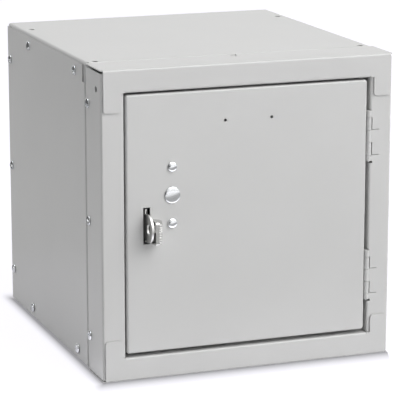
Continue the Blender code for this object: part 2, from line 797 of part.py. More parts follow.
def staple():
    """An angle of plate: its foot is behind the stop lip, and its lobe comes out through the door."""
    tip = DOOR_FRONT - LOBE_PROUD
    foot_left = -OPENING_HALF + STAPLE_FOOT_INSET
    corners = [
        (foot_left, FOOT_BACK, 0),
        (STAPLE_RIGHT, FOOT_BACK, STAPLE_BEND),
        (STAPLE_RIGHT, tip, 0),
    ]
    half = STAPLE_FOOT_HEIGHT / 2
    shape = bmesh.new()
    grid_faces(
        shape,
        rounded_path(corners),
        stations(MIDDLE - half, MIDDLE + half),
        lambda across, up: (across[0], across[1], up[0]),
        lambda run, row, z: True,
    )
    face_outwards(shape, (1, 0, 0))
    made = thicken(add_object("hasp_staple", shape, "zinc_plate"), STAPLE_SHEET)
    cut(made, lobe_outline(tip), "INTERSECT")
    drill(made, [(STAPLE_X, EYE_Y, STAPLE_Z)], STAPLE_EYE_RADIUS, (1, 0, 0), 2 * (STAPLE_SHEET + OVERRUN))
    sites = staple_rivet_sites().values()
    drill(made, sites, RIVET_RADIUS + SEAT, (0, 1, 0), 2 * (STAPLE_SHEET + FRAME_SHEET + OVERRUN))
    return made


def lobe_outline(tip):
    """Seen from the side: square behind the door's sheet, and a round lobe from there forwards."""
    radius = LOBE_HEIGHT / 2
    centre = tip + radius
    half = STAPLE_FOOT_HEIGHT / 2 + OVERRUN
    shoulder = DOOR_FRONT + DOOR_SHEET + SEAT
    back = FOOT_BACK + OVERRUN
    points = [(back, MIDDLE + half), (shoulder, MIDDLE + half)]
    start = acos((shoulder - centre) / radius)
    for step in range(CURL_STEPS + 1):
        angle = start + 2 * (pi - start) * step / CURL_STEPS
        points.append((centre + radius * cos(angle), STAPLE_Z + radius * sin(angle)))
    points += [(shoulder, MIDDLE - half), (back, MIDDLE - half)]
    shape = bmesh.new()
    left = -OPENING_HALF - OVERRUN
    right = STAPLE_RIGHT + OVERRUN
    face = shape.faces.new([shape.verts.new((left, y, z)) for y, z in points])
    grown = bmesh.ops.extrude_face_region(shape, geom=[face])
    moved = [item for item in grown["geom"] if isinstance(item, bmesh.types.BMVert)]
    bmesh.ops.translate(shape, verts=moved, vec=(right - left, 0, 0))
    bmesh.ops.recalc_face_normals(shape, faces=shape.faces)
    return add_cutter("lobe_outline", shape)


def staple_rivet_sites():
    x = -OPENING_HALF + RIVET_FROM_LATCH_JAMB
    return {
        "staple_rivet_upper": (x, STOP_FRONT, MIDDLE + RIVET_SPACING / 2),
        "staple_rivet_lower": (x, STOP_FRONT, MIDDLE - RIVET_SPACING / 2),
    }


def staple_rivet(name, site):
    """A rivet through the stop lip and the staple's foot, with a head at both ends."""
    foot = STOP_FRONT - FOOT_BACK - SEAT
    profile = dome(RIVET_HEAD_RADIUS, RIVET_HEAD, SEAT)
    profile += [(RIVET_RADIUS, SEAT), (RIVET_RADIUS, foot), (RIVET_HEAD_RADIUS, foot)]
    profile += [(RIVET_RADIUS, foot - RIVET_HEAD), (0, foot - RIVET_HEAD)]
    made = add_object(name, turned_shape(profile, HOLE_STEPS), "zinc_plate", site)
    made.rotation_mode = "QUATERNION"
    made.rotation_quaternion = facing((0, -1, 0))
    return made


def pull_section(share, rib):
    """One level of the pull, seen from above. share runs from -1 at its foot to 1 at its top."""
    base = DOOR_FRONT - SEAT
    outline = (1 - abs(share) ** PULL_FULLNESS) ** (1 / PULL_FULLNESS)
    proud = PULL_BASE + (PULL_PROUD - PULL_BASE) * outline
    drop = min(PULL_RIB_DROP, proud - PULL_EDGE)
    ribbed = PULL_LEFT + PULL_FRONT + PULL_RIBBED
    shoulder = base - proud
    return [
        (PULL_LEFT, base),
        (PULL_LEFT, shoulder + PULL_EDGE),
        (PULL_LEFT + PULL_EDGE, shoulder),
        (PULL_LEFT + PULL_FRONT, shoulder + rib),
        (ribbed, shoulder + drop + rib),
        (PULL_LEFT + PULL_WIDTH, base - PULL_EDGE),
        (PULL_LEFT + PULL_WIDTH, base),
    ]


def pull_levels():
    """Heights as shares of the half height, with the depth of the rib's face at each."""
    count = PULL_RIBS * PULL_STEPS
    levels = [(-1, 0)]
    for step in range(count + 1):
        share = PULL_RIBBED_SHARE * (2 * step / count - 1)
        levels.append((share, 0 if step % PULL_STEPS == 0 else -PULL_RIB_DEPTH))
    levels.append((1, 0))
    return levels


def door_pull():
    """A finger pull with ribs across its right half and an eye for the padlock."""
    shape = bmesh.new()
    rings = []
    for share, rib in pull_levels():
        z = PULL_Z + share * PULL_HEIGHT / 2
        rings.append([shape.verts.new((x, y, z)) for x, y in pull_section(share, rib)])
    for lower, upper in zip(rings, rings[1:]):
        for k, vert in enumerate(lower):
            ahead = (k + 1) % len(lower)
            shape.faces.new([vert, lower[ahead], upper[ahead], upper[k]])
    shape.faces.new(rings[0])
    shape.faces.new(rings[-1])
    bmesh.ops.recalc_face_normals(shape, faces=shape.faces)
    made = add_object("door_pull", shape, "zinc_plate")
    drill(made, [(PULL_LEFT, EYE_Y, STAPLE_Z)], PULL_EYE_RADIUS, (1, 0, 0), 2 * (PULL_WIDTH + OVERRUN))
    depth = 2 * (PULL_SCREW_DEPTH + SEAT)
    drill(made, pull_screw_sites().values(), PULL_SCREW_RADIUS + SEAT, (0, 1, 0), depth)
    return made


def pull_screw_sites():
    half = PULL_HEIGHT / 2 - PULL_SCREW_FROM_END
    x = PULL_LEFT + PULL_SCREW_FROM_LEFT
    y = DOOR_FRONT - SEAT
    return {"pull_screw_upper": (x, y, PULL_Z + half), "pull_screw_lower": (x, y, PULL_Z - half)}


def pull_screw(name, site):
    """A screw from inside the door into the pull."""
    seat = -DOOR_SHEET - 2 * SEAT
    profile = [(0, PULL_SCREW_DEPTH), (PULL_SCREW_RADIUS, PULL_SCREW_DEPTH), (PULL_SCREW_RADIUS, seat)]
    head = dome(2 * PULL_SCREW_RADIUS, RIVET_HEAD, 0)
    profile += [(radius, seat - height) for radius, height in reversed(head)]
    made = add_object(name, turned_shape(profile, HOLE_STEPS), "zinc_plate", site)
    made.rotation_mode = "QUATERNION"
    made.rotation_quaternion = facing((0, -1, 0))
    return made


def screw_mesh():
    """A slotted sheet-metal screw, head up, with the panel's face at height zero."""
    profile = [(0, SEAT + SCREW_HEAD)]
    profile += dome(SCREW_HEAD_RADIUS, SCREW_HEAD - SCREW_RIM, SEAT + SCREW_RIM)[1:]
    profile += [(SCREW_HEAD_RADIUS, SEAT), (SCREW_RADIUS, SEAT), (SCREW_RADIUS, SCREW_TIP - SCREW_LENGTH)]
    profile += [(0, -SCREW_LENGTH)]
    blank = add_cutter("screw_blank", turned_shape(profile, HOLE_STEPS))
    long_half = SCREW_HEAD_RADIUS + OVERRUN
    wide_half = SLOT_CUT_WIDTH / 2
    floor = SEAT + SCREW_HEAD - SLOT_CUT_DEPTH
    ceiling = SEAT + SCREW_HEAD + OVERRUN
    box_cut(blank, [((-long_half, -wide_half, floor), (long_half, wide_half, ceiling))], "driver_slot")
    graph = bpy.context.evaluated_depsgraph_get()
    return bpy.data.meshes.new_from_object(blank.evaluated_get(graph))


def add_screw(name, mesh, site, axis, turn):
    """Each screw is its own object. Its slot is turned by its own angle."""
    made = bpy.data.objects.new(name, mesh.copy())
    made.data.materials.clear()
    made.data.materials.append(finish("zinc_plate", name))
    made.location = site
    made.rotation_mode = "QUATERNION"
    made.rotation_quaternion = facing(axis) @ Matrix.Rotation(turn, 3, "Z").to_quaternion()
    bpy.context.scene.collection.objects.link(made)


def add_screws():
    mesh = screw_mesh()
    turn = 0
    for side, sign in (("left", -1), ("right", 1)):
        for name, (y, z, _) in side_screw_sites(side).items():
            add_screw(name, mesh, (sign * HALF_WIDTH, y, z), (sign, 0, 0), turn)
            turn += SCREW_TURN
    add_screw("top_rail_screw", mesh, top_rail_site(), (0, 0, 1), turn)


def top_rail_site():
    return (0, FRAME_BACK - SCREW_FROM_SEAM, HEIGHT)


def bumper_sites():
    x = -OPENING_HALF + BUMPER_FROM_LATCH_JAMB
    return {
        "upper_door_bumper": (x, STOP_FRONT, DOOR_HIGH - BUMPER_FROM_END),
        "lower_door_bumper": (x, STOP_FRONT, DOOR_LOW + BUMPER_FROM_END),
    }


def door_bumper(name, site):
    """A rubber button whose bulb is pushed through the stop lip."""
    inside = -FRAME_SHEET - SEAT
    profile = [(0, BUMPER_HEIGHT), (BUMPER_NECK_RADIUS, BUMPER_HEIGHT), (BUMPER_RADIUS, BUMPER_HEIGHT / 2)]
    profile += [(BUMPER_RADIUS, SEAT), (BUMPER_NECK_RADIUS, SEAT), (BUMPER_NECK_RADIUS, inside)]
    profile += [(BUMPER_BULB_RADIUS, inside), (BUMPER_NECK_RADIUS / 2, inside - BUMPER_BULB)]
    profile += [(0, inside - BUMPER_BULB)]
    made = add_object(name, turned_shape(profile), "black_rubber", site)
    made.rotation_mode = "QUATERNION"
    made.rotation_quaternion = facing((0, -1, 0))
    return made


def ceiling_hook():
    """A strip bent into two hooks, spot-welded under the top panel."""
    half = HOOK_TOP / 2
    low = HOOK_TOP_Z - HOOK_DROP
    right = [
        (half, HOOK_TOP_Z, HOOK_TOP_BEND),
        (half, low, HOOK_LOW_BEND),
        (half + HOOK_REACH, low, HOOK_LOW_BEND),
        (half + HOOK_REACH, low + HOOK_TIP, 0),
    ]
    left = [(-x, z, radius) for x, z, radius in reversed(right)]
    near = HOOK_FROM_MIDDLE - HOOK_STRIP / 2
    shape = bmesh.new()
    grid_faces(
        shape,
        rounded_path(left + right),
        stations(near, near + HOOK_STRIP),
        lambda across, deep: (across[0], deep[0], across[1]),
        lambda run, row, y: True,
    )
    shape.normal_update()
    top = max(shape.faces, key=lambda face: face.calc_center_median().z)
    if top.normal.z < 0:
        bmesh.ops.reverse_faces(shape, faces=shape.faces)
    return thicken(add_object("ceiling_hook", shape, "zinc_plate"), HOOK_SHEET)


def build_frame():
    left = stile("left", -1)
    bumpers = bumper_sites()
    drill(left, bumpers.values(), BUMPER_NECK_RADIUS + SEAT, (0, 1, 0), 2 * (FRAME_SHEET + OVERRUN))
    drill(left, staple_rivet_sites().values(), RIVET_RADIUS + SEAT, (0, 1, 0), 2 * (FRAME_SHEET + OVERRUN))
    notch_stile(stile("right", 1))
    top = rail("top_rail", HEIGHT, TOP_RAIL_FACE, -1)
    drill(top, [top_rail_site()], SCREW_RADIUS + SEAT, (0, 0, 1), 2 * (FRAME_SHEET + OVERRUN))
    rail("bottom_rail", 0, BOTTOM_RAIL_FACE, 1)
    for name, site in bumpers.items():
        door_bumper(name, site)
    staple()
    for name, site in staple_rivet_sites().items():
        staple_rivet(name, site)


def build_body():
    for side, sign in (("left", -1), ("right", 1)):
        side_panel(side, sign)
    top = tray("top_panel", HEIGHT, -1, "top")
    bolts_through = 2 * (BODY_SHEET + OVERRUN)
    drill(top, bolt_holes(HEIGHT), BOLT_HOLE_RADIUS, (0, 0, 1), bolts_through)
    drill(top, [top_rail_site()], SCREW_RADIUS + SEAT, (0, 0, 1), 2 * (JOGGLE + BODY_SHEET + OVERRUN))
    bottom = tray("bottom_panel", 0, 1, "bottom")
    drill(bottom, bolt_holes(0), BOLT_HOLE_RADIUS, (0, 0, 1), bolts_through)
    back_panel()
    ceiling_hook()
    add_screws()


def build_door():
    """The door and all that swings with it hang on an empty that stands on the hinge axis."""
    axis = bpy.data.objects.new("door_axis", None)
    axis.location = (AXIS_X, AXIS_Y, MIDDLE)
    bpy.context.scene.collection.objects.link(axis)
    pieces = [door_panel(), door_pull()]
    pieces.append(hole_plug("lock_hole_plug", BUTTON_RADIUS, BUTTON_CROWN, BUTTON_STEM_RADIUS))
    for name in ("upper_screw_hole_plug", "lower_screw_hole_plug"):
        pieces.append(hole_plug(name, DOME_RADIUS, DOME_CROWN, DOME_STEM_RADIUS))
    for name, site in pull_screw_sites().items():
        pieces.append(pull_screw(name, site))
    for level, middle in hinge_middles().items():
        pieces.append(door_leaf(level, middle))
        frame_leaf(level, middle)
        hinge_pin(level, middle)
    for piece in pieces:
        parent_to(piece, axis)


def main():
    clear_scene()
    build_frame()
    build_body()
    build_door()


main()
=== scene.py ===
# %% [markdown]
# # A steel cube locker in grey enamel
# The locker is a folded sheet-steel box with a front frame, a hinged door and a padlock hasp.
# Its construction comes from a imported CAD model, which this script loads and never moves.
# Here each piece gets its real surface, and small pieces that show are modelled again in finer form.

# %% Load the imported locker
import json
from math import cos, radians, sin

import bmesh
import bpy
from mathutils import Matrix, Vector

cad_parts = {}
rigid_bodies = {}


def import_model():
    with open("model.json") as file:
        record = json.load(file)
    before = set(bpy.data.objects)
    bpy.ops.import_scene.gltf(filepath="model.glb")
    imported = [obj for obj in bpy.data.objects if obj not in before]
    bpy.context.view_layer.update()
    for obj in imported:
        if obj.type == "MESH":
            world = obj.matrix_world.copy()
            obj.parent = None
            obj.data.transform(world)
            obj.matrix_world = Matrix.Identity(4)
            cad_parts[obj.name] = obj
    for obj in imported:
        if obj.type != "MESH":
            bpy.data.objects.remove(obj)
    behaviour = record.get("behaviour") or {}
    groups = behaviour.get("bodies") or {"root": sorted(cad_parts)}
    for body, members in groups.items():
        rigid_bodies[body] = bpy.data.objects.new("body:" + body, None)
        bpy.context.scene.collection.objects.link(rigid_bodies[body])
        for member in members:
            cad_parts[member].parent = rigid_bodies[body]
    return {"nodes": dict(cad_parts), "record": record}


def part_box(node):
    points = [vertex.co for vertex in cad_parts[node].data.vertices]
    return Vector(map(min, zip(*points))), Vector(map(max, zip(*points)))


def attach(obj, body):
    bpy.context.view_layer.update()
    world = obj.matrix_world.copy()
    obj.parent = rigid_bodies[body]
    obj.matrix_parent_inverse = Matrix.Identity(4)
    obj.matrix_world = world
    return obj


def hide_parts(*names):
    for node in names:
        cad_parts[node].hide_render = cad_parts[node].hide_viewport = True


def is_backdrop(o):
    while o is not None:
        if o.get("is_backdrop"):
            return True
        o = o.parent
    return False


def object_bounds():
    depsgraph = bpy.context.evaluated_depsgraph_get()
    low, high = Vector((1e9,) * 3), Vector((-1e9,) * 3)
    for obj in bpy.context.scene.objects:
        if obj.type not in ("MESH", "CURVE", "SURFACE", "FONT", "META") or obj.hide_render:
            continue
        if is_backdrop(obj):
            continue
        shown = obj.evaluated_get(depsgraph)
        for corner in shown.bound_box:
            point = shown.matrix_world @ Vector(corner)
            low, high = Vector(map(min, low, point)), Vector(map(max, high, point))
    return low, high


for old in list(bpy.data.objects):
    bpy.data.objects.remove(old)
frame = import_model()
cad_low, cad_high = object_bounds()
NODES = frame["nodes"]
MM = 0.001
print("locker of", len(NODES), "pieces, in mm:", [round(x / MM, 1) for x in cad_high - cad_low])

# %% [markdown]
# ## Camera
# A product photograph of a small locker is taken from a few paces with a long lens, so that its edges
# stay nearly parallel. The distance and the lens were worked out from the locker's corners in the image.
# The camera stands to the left of the front and a little above the top. The Standard view shows colours as
# they are, without the look of a film.

# %% Camera
IMAGE_PIXELS = 400
FOCAL_PIXELS = 2202
SENSOR = 36
CAMERA_TURN = radians(-20.37)
CAMERA_RISE = radians(13.01)
CAMERA_DISTANCE = 2.329
AIM = Vector((9 * MM, 0, 135.9 * MM))

bpy.ops.object.camera_add()
camera = bpy.context.object
camera.name = "camera"
level_share = cos(CAMERA_RISE)
backwards = Vector((sin(CAMERA_TURN) * level_share, -cos(CAMERA_TURN) * level_share, sin(CAMERA_RISE)))
camera.location = AIM + backwards * CAMERA_DISTANCE
camera.rotation_mode = "QUATERNION"
camera.rotation_quaternion = (-backwards).to_track_quat("-Z", "Y")
camera.data.sensor_width = SENSOR
camera.data.lens = FOCAL_PIXELS / IMAGE_PIXELS * SENSOR
bpy.context.scene.camera = camera
bpy.context.scene.view_settings.view_transform = "Standard"
print("lens", round(camera.data.lens), "mm at", CAMERA_DISTANCE, "m")

# %% [markdown]
# ## Colours and nodes
# A colour is written as it looks on a screen, in sRGB hex digits. Cycles mixes light in linear values, so
# one function turns each hex colour to linear. Another adds a shader node with its settings and its links
# in one line, which keeps a material as short as a recipe. Many recipes turn one range of values into
# another, and a small function writes the settings for that.

# %% Helpers for materials
WHITE = (1, 1, 1, 1)


def colour(hex_digits):
    """An sRGB colour such as "C8C8C6" as linear red, green, blue and alpha."""
    made = []
    for k in (0, 2, 4):
        share = int(hex_digits[k : k + 2], 16) / 255
        made.append(share / 12.92 if share <= 0.04045 else ((share + 0.055) / 1.055) ** 2.4)
    return (*made, 1)


def span(start, stop, first, last):
    """Settings that turn a value between start and stop into one between first and last."""
    return {"From Min": start, "From Max": stop, "To Min": first, "To Max": last}


def add_node(tree, kind, settings=None, *sources, **links):
    """Adds a node, with settings for its properties or its inputs.

    Sources are linked to its inputs in order, and links by name, with _ for a space.
    """
    node = tree.nodes.new(kind)
    for name, value in (settings or {}).items():
        if isinstance(name, str) and hasattr(node, name):
            setattr(node, name, value)
        else:
            node.inputs[name].default_value = value
    for k, source in enumerate(sources):
        tree.links.new(source, node.inputs[k])
    for name, source in links.items():
        tree.links.new(source, node.inputs[name.replace("_", " ")])
    return node


def new_material(name):
    """A material without nodes, and its node tree."""
    made = bpy.data.materials.new(name)
    made.use_nodes = True
    made.node_tree.nodes.clear()
    return made, made.node_tree


print("sRGB grey C8C8C8 is", round(colour("C8C8C8")[0], 3), "in linear light")

# %% [markdown]
# ## White surroundings
# The photograph has a white studio. The camera and mirrors see white all round, but little light comes from
# there: it is weak from the left front and stronger from the right rear. The Light Path node tells rays that
# are seen from rays that carry light. Straight above, mirrors see a bright patch, which gives the bends of
# the sheets their bright lines.

# %% World
FILL_DIM = 0.05
FILL_BRIGHT = 0.6
FILL_TOWARD = (0.6, 0.8, 0)
CEILING = 6
CEILING_LOW = 0.87
CEILING_HIGH = 0.97


def seen_directly(tree):
    """One for rays from the camera, a mirror or a glass, and zero for rays that carry light."""
    rays = add_node(tree, "ShaderNodeLightPath").outputs
    larger = {"operation": "MAXIMUM"}
    shiny = add_node(tree, "ShaderNodeMath", larger, rays["Is Glossy Ray"], rays["Is Transmission Ray"])
    return add_node(tree, "ShaderNodeMath", larger, rays["Is Camera Ray"], shiny.outputs[0]).outputs[0]


world = bpy.data.worlds.new("white studio")
bpy.context.scene.world = world
world.use_nodes = True
tree = world.node_tree
tree.nodes.clear()
direction = add_node(tree, "ShaderNodeTexCoord").outputs["Generated"]
along = add_node(tree, "ShaderNodeVectorMath", {"operation": "DOT_PRODUCT", 1: FILL_TOWARD}, direction)
level = add_node(tree, "ShaderNodeMapRange", span(-1, 1, FILL_DIM, FILL_BRIGHT), along.outputs["Value"])
fill = add_node(tree, "ShaderNodeBackground", {"Color": WHITE}, Strength=level.outputs[0])
height = add_node(tree, "ShaderNodeSeparateXYZ", None, direction).outputs["Z"]
ceiling = add_node(tree, "ShaderNodeMapRange", span(CEILING_LOW, CEILING_HIGH, 1, CEILING), height)
white = add_node(tree, "ShaderNodeBackground", {"Color": WHITE}, Strength=ceiling.outputs[0])
mixed = add_node(tree, "ShaderNodeMixShader", None, seen_directly(tree), fill.outputs[0], white.outputs[0])
add_node(tree, "ShaderNodeOutputWorld", Surface=mixed.outputs[0])
print("world:", len(tree.nodes), "nodes")

# %% [markdown]
# ## Distance from the locker
# The table looks different close to the locker and further off: near it the glow is weaker, which paints a
# shadow, and further off the mirrored room begins. The locker's base is the rectangle round the lowest points
# of the CAD model, and a chain of nodes measures how far a point of the table lies outside it. The distance
# is counted in reaches, which can differ to the left, to the right and in front.

# %% Distance from the base
BASE_HEIGHT = 2 * MM
FLOOR_SIZE = 30

feet = [node.matrix_world @ point.co for node in NODES.values() for point in node.data.vertices]
feet = [foot for foot in feet if foot.z < BASE_HEIGHT]
base_low, base_high = (Vector([limit(foot[k] for foot in feet) for k in (0, 1)]) for limit in (min, max))
base_middle = (base_low + base_high) / 2
base_half = (base_high - base_low) / 2


def distance_from_base(tree, reaches=(1, 1, 1), shear=0):
    """How far a point of the floor is from the locker's base, in reaches to left, right and front.

    The shear moves the reach in front to the left, the more so the further in front a point lies.
    """
    left, right, front = reaches
    place = add_node(tree, "ShaderNodeTexCoord").outputs["Object"]
    from_middle = {"operation": "SUBTRACT", 1: (*base_middle, 0)}
    moved = add_node(tree, "ShaderNodeVectorMath", from_middle, place).outputs[0]
    parts = add_node(tree, "ShaderNodeSeparateXYZ", None, moved).outputs
    slant = span(-base_half.y - FLOOR_SIZE, -base_half.y, shear * FLOOR_SIZE, 0)
    sheared = add_node(tree, "ShaderNodeMapRange", slant, parts["Y"]).outputs[0]
    across = add_node(tree, "ShaderNodeMath", {"operation": "ADD"}, parts["X"], sheared).outputs[0]
    slanted = add_node(tree, "ShaderNodeCombineXYZ", None, across, parts["Y"]).outputs[0]
    folded = add_node(tree, "ShaderNodeVectorMath", {"operation": "ABSOLUTE"}, slanted).outputs[0]
    from_edge = {"operation": "SUBTRACT", 1: (*base_half, 0)}
    beyond = add_node(tree, "ShaderNodeVectorMath", from_edge, folded).outputs[0]
    outside = add_node(tree, "ShaderNodeVectorMath", {"operation": "MAXIMUM"}, beyond).outputs[0]
    sides = span(-base_half.x, base_half.x, left, right)
    sideways = add_node(tree, "ShaderNodeMapRange", sides, parts["X"]).outputs[0]
    reach = add_node(tree, "ShaderNodeCombineXYZ", {"Y": front, "Z": 1}, sideways).outputs[0]
    shares = add_node(tree, "ShaderNodeVectorMath", {"operation": "DIVIDE"}, outside, reach).outputs[0]
    return add_node(tree, "ShaderNodeVectorMath", {"operation": "LENGTH"}, shares).outputs["Value"]


print("base in mm:", [round(2 * x / MM, 1) for x in base_half])

# %% [markdown]
# ## White table
# The locker stands on white paper. A matt part takes the real contact shadow, and a glow on top of it makes
# the paper end in white. Near the locker the glow is weaker, which paints the contact shadow darker and
# wider, most to the left and in front. Mirrors see the glow stronger in front on the right and weaker behind,
# and it casts no light on the locker.

# %% Floor
FLOOR_COLOUR = "E6E6E8"
FLOOR_SEEN = 0.15
GLOW_COLOUR = "F9F8FE"
# The glow near the locker, its reaches and its fall paint the contact shadow on the paper.
PAINTED_SHADOW_GLOW = 0.3
GLOW_FAR = 1
GLOW_MIRRORED_LEFT = 1.1
GLOW_MIRRORED_RIGHT = 1.8
GLOW_MIRRORED_BEHIND = 0.6
PAINTED_SHADOW_LEFT = 14 * MM
PAINTED_SHADOW_RIGHT = 1 * MM
PAINTED_SHADOW_FRONT = 34 * MM
PAINTED_SHADOW_SHEAR = 0.37
PAINTED_SHADOW_FALL = 2
TABLE_MARGIN = 0.14


def glow_with_painted_shadow(tree):
    """How strongly the floor glows: weaker near the locker as painted shadow, none for rays that carry light.
    """
    rays = add_node(tree, "ShaderNodeLightPath").outputs
    place = add_node(tree, "ShaderNodeTexCoord").outputs["Object"]
    parts = add_node(tree, "ShaderNodeSeparateXYZ", None, place).outputs
    away = distance_from_base(tree, (PAINTED_SHADOW_LEFT, PAINTED_SHADOW_RIGHT, PAINTED_SHADOW_FRONT), PAINTED_SHADOW_SHEAR)
    close = add_node(tree, "ShaderNodeMapRange", span(0, 1, 1, 0), away).outputs[0]
    shade = add_node(tree, "ShaderNodeMath", {"operation": "POWER", 1: PAINTED_SHADOW_FALL}, close).outputs[0]
    fade = add_node(tree, "ShaderNodeMapRange", span(0, 1, GLOW_FAR, PAINTED_SHADOW_GLOW), shade).outputs[0]
    depths = span(cad_low.y, cad_low.y + TABLE_MARGIN, 1, 0)
    before = add_node(tree, "ShaderNodeMapRange", depths, parts["Y"]).outputs[0]
    sides = span(cad_low.x - TABLE_MARGIN, cad_low.x, GLOW_MIRRORED_LEFT, GLOW_MIRRORED_RIGHT)
    in_front = add_node(tree, "ShaderNodeMapRange", sides, parts["X"]).outputs[0]
    level = add_node(tree, "ShaderNodeMix", {"A": GLOW_MIRRORED_BEHIND}, Factor=before, B=in_front).outputs[0]
    product = {"operation": "MULTIPLY"}
    mirrored = add_node(tree, "ShaderNodeMath", product, level, rays["Is Glossy Ray"]).outputs[0]
    strength = add_node(tree, "ShaderNodeMath", {"operation": "ADD"}, rays["Is Camera Ray"], mirrored)
    return add_node(tree, "ShaderNodeMath", product, fade, strength.outputs[0]).outputs[0]


bpy.ops.mesh.primitive_plane_add(size=FLOOR_SIZE)
floor = bpy.context.object
floor.name = "studio_floor"
paper, tree = new_material("white paper")
dimming = add_node(tree, "ShaderNodeMapRange", span(0, 1, 1, FLOOR_SEEN), seen_directly(tree)).outputs[0]
paper_tone = add_node(tree, "ShaderNodeHueSaturation", {"Color": colour(FLOOR_COLOUR)}, Value=dimming)
matt = add_node(tree, "ShaderNodeBsdfDiffuse", Color=paper_tone.outputs[0])
glow = add_node(tree, "ShaderNodeEmission", {"Color": colour(GLOW_COLOUR)}, Strength=glow_with_painted_shadow(tree))
both = add_node(tree, "ShaderNodeAddShader", None, matt.outputs[0], glow.outputs[0])
add_node(tree, "ShaderNodeOutputMaterial", Surface=both.outputs[0])
floor.data.materials.append(paper)
floor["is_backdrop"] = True
print("floor:", FLOOR_SIZE, "m wide")

# %% [markdown]
# ## Soft light
# The key softbox is high on the right, so the front and the top are bright, and a weaker one behind on the
# left lights the side. Between them the left front is dim, which draws the dark line along the left bend
# and in the side seam. A small low reflector lifts the foot of the side. An area light is used for each,
# because a large lamp gives soft shadows. Mirrors don't show the weaker softbox.

# %% Softboxes
KEY_SIZE = 3.6
KEY_PLACE = Vector((1.84, -2.4, 2.8))
KEY_WATTS = 169
KICKER_SIZE = 1.4
KICKER_PLACE = Vector((-1.9, 1.7, 0.7))
KICKER_WATTS = 18
REFLECTOR_PLACE = Vector((-0.6, 0.2, -0.12))
REFLECTOR_SIZE = 0.5
REFLECTOR_WATTS = 0.9
REFLECTOR_AIM = Vector((-0.15, -0.05, -0.12))


def make_softbox(name, place, size, watts, aim, mirrored=True):
    bpy.ops.object.light_add(type="AREA", location=place)
    softbox = bpy.context.object
    softbox.name = name
    softbox.data.size = size
    softbox.data.energy = watts
    softbox.visible_glossy = mirrored
    softbox.rotation_mode = "QUATERNION"
    softbox.rotation_quaternion = (aim - place).to_track_quat("-Z", "Y")


make_softbox("key_softbox", KEY_PLACE, KEY_SIZE, KEY_WATTS, AIM)
make_softbox("kicker_softbox", KICKER_PLACE, KICKER_SIZE, KICKER_WATTS, AIM, mirrored=False)
make_softbox("low_reflector", REFLECTOR_PLACE, REFLECTOR_SIZE, REFLECTOR_WATTS, REFLECTOR_AIM)
print("key softbox", round((KEY_PLACE - AIM).length, 1), "m away")

# %% [markdown]
# ## The room in the mirrors
# Plated pieces and glossy paint look real because of what they mirror. Beyond the white table they see a
# room that is dark on the left, lighter on the right and bright in front. The room lies just above the
# floor, is clear over the table, and is left out of everything but mirrors.

# %% Room
TABLE_FADE = 0.06
ROOM_SIZE = 7
ROOM_ABOVE_FLOOR = 0.004
ROOM_DARK_X = -0.7
ROOM_LIGHT_X = -0.25
ROOM_DARK = 0.12
ROOM_LIGHT = 0.45
ROOM_TOWARD = (-0.5, -0.87, 0)
ROOM_BRIGHT_NEAR = 0.68
ROOM_BRIGHT_FAR = 0.8
ROOM_BRIGHT = 1.1


def mirror_only(piece):
    """Leaves a piece of the studio visible to mirror-like surfaces alone."""
    piece.visible_camera = False
    piece.visible_diffuse = False
    piece.visible_transmission = False
    piece.visible_shadow = False
    piece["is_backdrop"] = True


def room_level(tree):
    """The room's brightness, by how far to the right and how far in front a point lies."""
    place = add_node(tree, "ShaderNodeTexCoord").outputs["Object"]
    sideways = add_node(tree, "ShaderNodeSeparateXYZ", None, place).outputs["X"]
    tones = span(ROOM_DARK_X, ROOM_LIGHT_X, ROOM_DARK, ROOM_LIGHT)
    across = add_node(tree, "ShaderNodeMapRange", tones, sideways).outputs[0]
    along = add_node(tree, "ShaderNodeVectorMath", {"operation": "DOT_PRODUCT", 1: ROOM_TOWARD}, place)
    depths = span(ROOM_BRIGHT_NEAR, ROOM_BRIGHT_FAR, 0, 1)
    ahead = add_node(tree, "ShaderNodeMapRange", depths, along.outputs["Value"]).outputs[0]
    rightward = add_node(tree, "ShaderNodeMapRange", span(ROOM_DARK_X, ROOM_LIGHT_X, 0, 1), sideways)
    lit = add_node(tree, "ShaderNodeMath", {"operation": "MULTIPLY"}, ahead, rightward.outputs[0])
    return add_node(tree, "ShaderNodeMix", {"B": ROOM_BRIGHT}, Factor=lit.outputs[0], A=across).outputs[0]


bpy.ops.mesh.primitive_plane_add(size=ROOM_SIZE, location=(0, 0, ROOM_ABOVE_FLOOR))
room = bpy.context.object
room.name = "studio_room"
shade, tree = new_material("room round the table")
unlit = add_node(tree, "ShaderNodeEmission", {"Color": WHITE}, Strength=room_level(tree))
clear = add_node(tree, "ShaderNodeBsdfTransparent")
margin = span(TABLE_MARGIN, TABLE_MARGIN + TABLE_FADE, 0, 1)
edge = add_node(tree, "ShaderNodeMapRange", margin, distance_from_base(tree)).outputs[0]
both = add_node(tree, "ShaderNodeMixShader", None, edge, clear.outputs[0], unlit.outputs[0])
add_node(tree, "ShaderNodeOutputMaterial", Surface=both.outputs[0])
room.data.materials.append(shade)
mirror_only(room)
print("room:", ROOM_SIZE, "m wide, with", len(tree.nodes), "nodes")

# %% [markdown]
# ## Cards
# A photographer darkens or lightens what metal mirrors with cards beside the set. Two dark ones on the left
# darken what the side screws and the left bend show. A pale veil stands before the key's lower part, because
# the top would mirror the key at a grazing angle and clip to white when it is seen from behind.

# %% Cards
VEIL = 1.4
QUARTER = radians(90)
CARDS = {  # middle, width and height in metres, turn in degrees, and brightness
    "front_flag": ((-2.1, -2.8, 0.6), (2.8, 1.2), 0, ROOM_DARK),
    "left_flag": ((-3, 2.6, 3), (11, 6), 90, ROOM_DARK),
    "key_veil": ((1.25, -1.6, 1), (3, 0.9), 38, VEIL),
}

